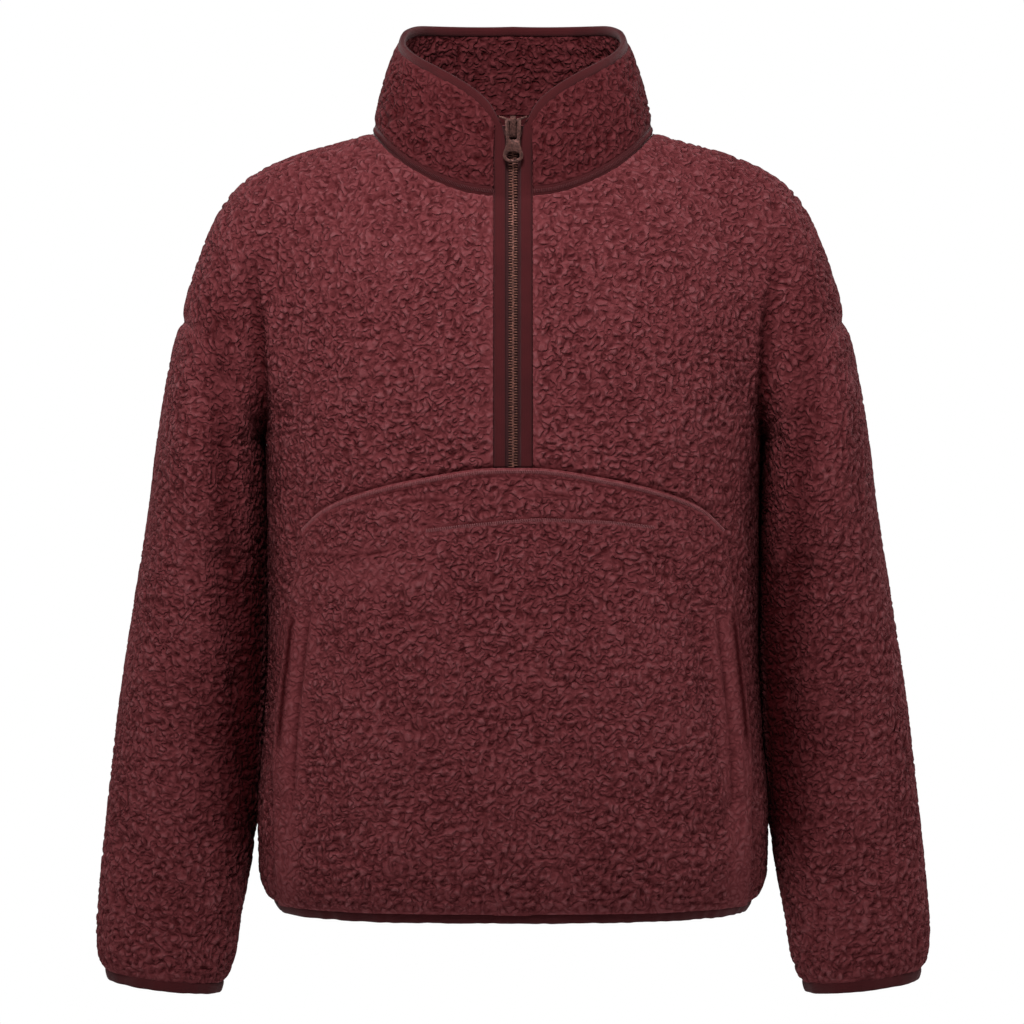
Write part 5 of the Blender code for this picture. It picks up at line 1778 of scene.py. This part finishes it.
# %% [markdown]
# The binding of the collar is one strip with those beside the zip: it comes up
# along the slit, turns in a round corner onto the collar's free edge, goes round the
# back and down the other side.

# %% Collar and zip binding
EDGE_WIDTHS = (9.2, 8.0)     # of the strip beside the zip and on the collar, mm
EDGE_SINKS = (2.5, 2.6)      # middle of the bead below the skin, at both
EDGE_HALF_DEPTHS = (1.5, 2.75)
ZIP_EDGE_TOP = -17.0         # height where the strip beside the zip starts to turn
ZIP_EDGE_PLACES = 160
CORNER_TURN = math.radians(11)
CORNER_TURNS_BEFORE = (5.2, 7.6)    # degrees; the round corner runs through these places of the rim
CORNER_PLACES = 60
RIM_PLACES = 260
EDGE_SECTIONS = 560
TOP_BLEND = 8.0              # how far above the neck seam point the collar's top lies, mm


def centre_front(z):
    """y of the cloth beside the zip, over body and collar."""
    z = np.asarray(z, float)
    on_body = np.minimum(z, -NECK_DROP_FRONT)
    x = np.full(z.shape, CENTRE_HALF_WIDTH)
    body = side_plane(x, on_body) - np.sqrt(body_squared(x, on_body, 1))
    top = COLLAR_TOP_CENTRE_Y - COLLAR_TOP_HALF_DEPTH
    share = np.clip((z + NECK_DROP_FRONT) / (NECK_DROP_FRONT + TOP_BLEND), 0, 1)
    return mixed(body, top, share)


def front_slope(z):
    """Outward normals of the cloth beside the zip."""
    slope = (centre_front(z + 2.0) - centre_front(z - 2.0)) / 4.0
    return unit(np.stack([np.zeros_like(z), -np.ones_like(z), slope], axis=-1))


def right_free_edge():
    """Free edge on the right half, from the zip's foot up to centre back.

    For each place: the point, the skin's normal, which way the cloth lies, and how
    much of the place is on the collar's rim, from 0 to 1.
    """
    z = np.linspace(ZIP_BOTTOM, ZIP_EDGE_TOP, ZIP_EDGE_PLACES)
    zip_part = np.stack([np.full(len(z), ZIP_BINDING_INNER), centre_front(z), z], axis=1)
    turns = np.linspace(CORNER_TURN, math.pi, RIM_PLACES)
    rim = collar_top_point(turns)
    before = collar_top_point(np.radians(CORNER_TURNS_BEFORE))
    corner = fair_line(np.concatenate([zip_part[[-8, -1]], before, rim[[0, 3]]]), CORNER_PLACES)
    bend = corner[(corner[:, 2] > ZIP_EDGE_TOP) & (corner[:, 0] < rim[0, 0] - 0.3)]
    base = neck_point(turns)
    zip_normals = front_slope(z)
    rim_normals = unit(np.cross(np.gradient(base + rim, axis=0), rim - base))
    into_zip = np.repeat([[1.0, 0.0, 0.0]], len(z), axis=0)
    into_rim = unit(base - rim)
    share = np.linspace(0, 1, len(bend) + 2)[1:-1, None]
    points = np.concatenate([zip_part, bend, rim])
    normals = np.concatenate([zip_normals, mixed(zip_normals[-1], rim_normals[0], share), rim_normals])
    into = np.concatenate([into_zip, mixed(into_zip[:1], into_rim[:1], share), into_rim])
    on_rim = np.concatenate([np.zeros((len(z), 3)), np.repeat(share, 3, axis=1), np.ones((len(rim), 3))])
    return points, normals, into, on_rim


def square_to(vectors, direction):
    """Vectors without the part of them that lies along a direction."""
    return vectors - direction * (vectors * direction).sum(axis=1, keepdims=True)


mirror = np.array([-1.0, 1.0, 1.0])
turned_over = (mirror, mirror, mirror, 1.0)
edge_lines = [np.concatenate([line, line[-2::-1] * turned])
              for line, turned in zip(right_free_edge(), turned_over)]
edge_points, edge_normals, edge_into, edge_on_rim = even_lines(edge_lines, EDGE_SECTIONS)
edge_normals = unit(edge_normals)
into = square_to(edge_into, unit(np.gradient(edge_points, axis=0)))
into = unit(square_to(into, edge_normals))
collar_share = eased(edge_on_rim[:, :1])
half_width = mixed(*EDGE_WIDTHS, collar_share) / 2
half_depth = mixed(*EDGE_HALF_DEPTHS, collar_share)
edge_centre = edge_points + into * half_width - edge_normals * mixed(*EDGE_SINKS, collar_share)
edge_binding, edge_length = swept("collar_and_zip_binding",
                                  ("collar_binding", "zip_binding_left", "zip_binding_right"),
                                  edge_centre, into * half_width, edge_normals * half_depth, BINDING)

# %% [markdown]
# A flat knit tape covers the neck seam. The chain's tape lies behind the teeth.

# %% Tapes
NECK_TAPE_SECTIONS = 240
NECK_TAPE_BOTTOM = -1.6      # above the neck seam, mm
NECK_TAPE_TOP = NECK_BAND_WIDTH + 1.8
NECK_TAPE_SINK = 2.0
NECK_TAPE_HALF_DEPTH = 1.5
ZIP_TAPE_TOP = -2.0
ZIP_TAPE_SECTIONS = 140
ZIP_TAPE_SINK = 4.6
ZIP_TAPE_HALF_DEPTH = 0.42

band = collar_grid(even_turns(NECK_TAPE_SECTIONS), seam_level(NECK_TAPE_BOTTOM),
                   seam_level(NECK_TAPE_TOP), 2)
band_line = band[1, :, :3]
band_out = band[1, :, 3:]
neck_tape, neck_tape_length = swept("neck_seam_tape", "neck_tape", band_line - band_out * NECK_TAPE_SINK,
                                    (band[2, :, :3] - band[0, :, :3]) / 2,
                                    band_out * NECK_TAPE_HALF_DEPTH, BINDING)
tape_z = np.linspace(ZIP_BOTTOM, ZIP_TAPE_TOP, ZIP_TAPE_SECTIONS)
tape_normals = front_slope(tape_z)
tape_line = np.stack([np.zeros_like(tape_z), centre_front(tape_z), tape_z], axis=1)
tape_across = np.repeat([[ZIP_TAPE_HALF_WIDTH, 0.0, 0.0]], len(tape_z), axis=0)
zip_tape, zip_tape_length = swept("zip_tape_strip", "zip_tape", tape_line - tape_normals * ZIP_TAPE_SINK,
                                  tape_across, tape_normals * ZIP_TAPE_HALF_DEPTH, TAPE)

# %% [markdown]
# ## Metal finishes
#
# Antique brass is brass that was blackened and then rubbed bright in places. A noise
# mask stands for the uneven rubbing, and the roughness follows it.

# %% Metal
TARNISH_SCALE = 600.0
GRAIN_SCALE = 2600.0
GRAIN_BUMP = 0.35
GRAIN_HEIGHT = 0.00008       # metres


def make_tarnish_group():
    """A mask of rubbed and tarnished places, and the metal's grain."""
    group, given, result = new_group(
        "tarnish",
        (("Place", "NodeSocketVector", None), ("Scale", "NodeSocketFloat", TARNISH_SCALE)),
        (("Rubbed", "NodeSocketFloat"), ("Grain", "NodeSocketFloat")),
    )
    wide = noise(group, given["Place"], given["Scale"], 3.0)
    group.links.new(ramp(group, wide, 0.38, 0.66), result["Rubbed"])
    group.links.new(noise(group, given["Place"], GRAIN_SCALE, 2.0), result["Grain"])
    return group


TARNISH = make_tarnish_group()


def make_metal(name, dark, light, rough, rubbed_rough, metallic):
    """A tarnished metal with rubbed places."""
    material, tree, shader = new_finish(name, rough, metallic=metallic)
    tarnish = placed_group(tree, TARNISH, {"Place": own_place(tree)})
    tree.links.new(two_tone(tree, tarnish["Rubbed"], dark, light), shader.inputs["Base Color"])
    tree.links.new(ramp(tree, tarnish["Rubbed"], 0, 1, rough, rubbed_rough), shader.inputs["Roughness"])
    bumped(tree, shader, tarnish["Grain"], GRAIN_BUMP, GRAIN_HEIGHT)
    return material


# dark and rubbed colour, roughness of both, share of metal
BRASS = make_metal("antique_brass_finish", (0.064, 0.019, 0.014, 1), (0.15, 0.054, 0.038, 1),
                   0.66, 0.55, 0.55)
BRONZE = make_metal("aged_bronze_finish", (0.032, 0.012, 0.010, 1), (0.090, 0.036, 0.030, 1),
                    0.55, 0.42, 0.80)

# %% [markdown]
# ## Zip chain
#
# Each tooth is a small block with bevelled edges. The two sides mesh, so the teeth
# alternate left and right. One tooth is modelled, and copied along the chain, turned
# with the slope of the chest.

# %% Teeth
TOOTH_PITCH = 1.05           # between a left tooth and the next right one
TOOTH_LENGTH = 4.3
TOOTH_HEIGHT = 0.95
TOOTH_DEPTH = 1.9
TOOTH_BEVEL = 0.26
TOOTH_TO_MIDDLE = 1.35       # from a tooth's middle to the middle of the chain
FIRST_TOOTH = 0.8            # above the zip's foot, mm
CHAIN_SINK = 2.75            # middle of the chain below the skin
SLIDER_TOP = 4.7
SLIDER_LENGTH = 16.5


def model_tooth():
    """One tooth that lies along X, its middle at the origin, as points and faces in millimetres."""
    nothing_selected()
    bpy.ops.mesh.primitive_cube_add(size=1)
    tooth = bpy.context.object
    tooth.scale = (TOOTH_LENGTH, TOOTH_DEPTH, TOOTH_HEIGHT)
    bpy.ops.object.transform_apply(location=False, rotation=False, scale=True)
    bpy.ops.object.mode_set(mode="EDIT")
    bpy.ops.mesh.select_all(action="SELECT")
    bpy.ops.mesh.bevel(offset=TOOTH_BEVEL, segments=1, affect="EDGES")
    bpy.ops.object.mode_set(mode="OBJECT")
    points = np.array([vertex.co[:] for vertex in tooth.data.vertices])
    faces = [list(face.vertices) for face in tooth.data.polygons]
    bpy.data.objects.remove(tooth)
    return points, faces


tooth_points, tooth_faces = model_tooth()
chain_top = SLIDER_TOP - SLIDER_LENGTH - SEAM_GAP
tooth_z = np.arange(ZIP_BOTTOM + FIRST_TOOTH, chain_top - 0.5, TOOTH_PITCH)
all_points, all_faces = [], []
for number, (z, normal) in enumerate(zip(tooth_z, front_slope(tooth_z))):
    hand = 1 if number % 2 else -1
    middle = np.array([hand * TOOTH_TO_MIDDLE, float(centre_front(z)), z]) - normal * CHAIN_SINK
    axes = np.array([(1.0, 0.0, 0.0), -normal, (0.0, normal[2], -normal[1])])
    all_points.append(middle + tooth_points @ axes)
    all_faces += [[i + number * len(tooth_points) for i in face] for face in tooth_faces]
teeth = new_piece("zip_chain", np.concatenate(all_points), all_faces, BRASS, "zip_teeth")
teeth.data.shade_flat()
print("teeth", len(tooth_z))

# %% [markdown]
# ## Slider and pull tab
#
# Both are die-cast: every edge is rounded. The solids have the outlines already, so
# each is copied, its loose triangles merged and their flat faces dissolved into one,
# and a bevel rounds the edges.

# %% Slider and pull tab
SLIDER_ROUNDING = 0.35       # mm
TAB_ROUNDING = 0.4
SAME_POINT = 1e-6            # metres
FLAT_ANGLE = math.radians(1)
SHARP_ANGLE = math.radians(35)
SMOOTH_ANGLE = math.radians(40)


def rounded_copy(node, name, width, body):
    """A copy of a solid with rounded edges."""
    nothing_selected()
    piece = bpy.data.objects.new(name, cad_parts[node].data.copy())
    bpy.context.scene.collection.objects.link(piece)
    bpy.context.view_layer.objects.active = piece
    piece.select_set(True)
    bpy.ops.object.mode_set(mode="EDIT")
    bpy.ops.mesh.select_all(action="SELECT")
    bpy.ops.mesh.remove_doubles(threshold=SAME_POINT)
    bpy.ops.mesh.dissolve_limited(angle_limit=FLAT_ANGLE)
    bpy.ops.object.mode_set(mode="OBJECT")
    bevel = piece.modifiers.new("rounded", "BEVEL")
    bevel.width = width * MM
    bevel.segments = 3
    bevel.limit_method = "ANGLE"
    bevel.angle_limit = SHARP_ANGLE
    bevel.use_clamp_overlap = True
    bpy.ops.object.modifier_apply(modifier="rounded")
    bpy.ops.object.shade_smooth_by_angle(angle=SMOOTH_ANGLE)
    mesh = piece.data
    mesh.materials.clear()
    mesh.materials.append(BRONZE)
    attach(piece, body)
    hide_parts(node)
    print(name, "faces", len(mesh.polygons))


rounded_copy("zip_slider", "slider_body", SLIDER_ROUNDING, GARMENT)
rounded_copy("zip_pull_tab", "pull_tab_plate", TAB_ROUNDING, PULL_TAB)

# %% [markdown]
# ## Cover stitching
#
# The arch of the pocket, the line below it and the neck tape are sewn with a cover
# stitch, whose looper thread lies across the seam in close, slightly slanting bars.

# %% Stitches
STITCH_PITCH = 1.35          # between two bars, mm
STITCH_HALF_LENGTH = 1.45
NECK_STITCH_HALF_LENGTH = 1.5
STITCH_HALF_WIDTH = 0.32
STITCH_SLANT = 0.35
STITCH_ARCH = 0.25           # how far the middle of a bar stands up
BAR_SHARES = (-1, -0.4, 0.4, 1)                   # where a bar's four sections lie along it
BAR_CORNERS = ((-1, 0), (0, 1), (1, 0), (0, -1))  # of a section, along the row and out


def thread_bars(name, line, normals, rise, half_length, finish):
    """A row of short thread bars across a line on the cloth."""
    count = int(walked(line)[-1] / STITCH_PITCH)
    line, normals = even_lines([line, normals], count)
    tangent = unit(np.gradient(line, axis=0))
    normals = unit(normals)
    cross = np.cross(normals, tangent)
    points, faces = [], []
    for number in range(count):
        first = len(points)
        for share in BAR_SHARES:
            arch = 1 - 0.75 * share ** 2
            middle = (line[number] + cross[number] * share * half_length
                      + tangent[number] * share * STITCH_SLANT
                      + normals[number] * (rise + arch * STITCH_ARCH))
            for along, out in BAR_CORNERS:
                corner = tangent[number] * along + normals[number] * out
                points.append(middle + corner * STITCH_HALF_WIDTH)
        for section in range(3):
            for k in range(4):
                a = first + section * 4 + k
                b = first + section * 4 + (k + 1) % 4
                faces.append([a, b, b + 4, a + 4])
        faces.append([first + k for k in (3, 2, 1, 0)])
        faces.append([first + 12 + k for k in (0, 1, 2, 3)])
    piece = new_piece(name, points, faces, finish, None)
    print(name, "bars", count)
    return piece


arch_x = np.linspace(-162, 162, 200)
arch_line = on_pocket(arch_x, faired(POCKET_TOP, 1, np.abs(arch_x)) - 3.0)
arch_threads = thread_bars("arch_stitches", arch_line[:, :3], arch_line[:, 3:], 0.55,
                           STITCH_HALF_LENGTH, THREAD)
second = fair_line(STITCH_LINES[0][1], 120)
second_line = on_pocket(second[:, 0], second[:, 1])
second_threads = thread_bars("facing_stitches", second_line[:, :3], second_line[:, 3:], -0.1,
                             STITCH_HALF_LENGTH, THREAD)
thread_bars("neck_stitches", band_line, band_out, -0.45, NECK_STITCH_HALF_LENGTH, DARK_THREAD)
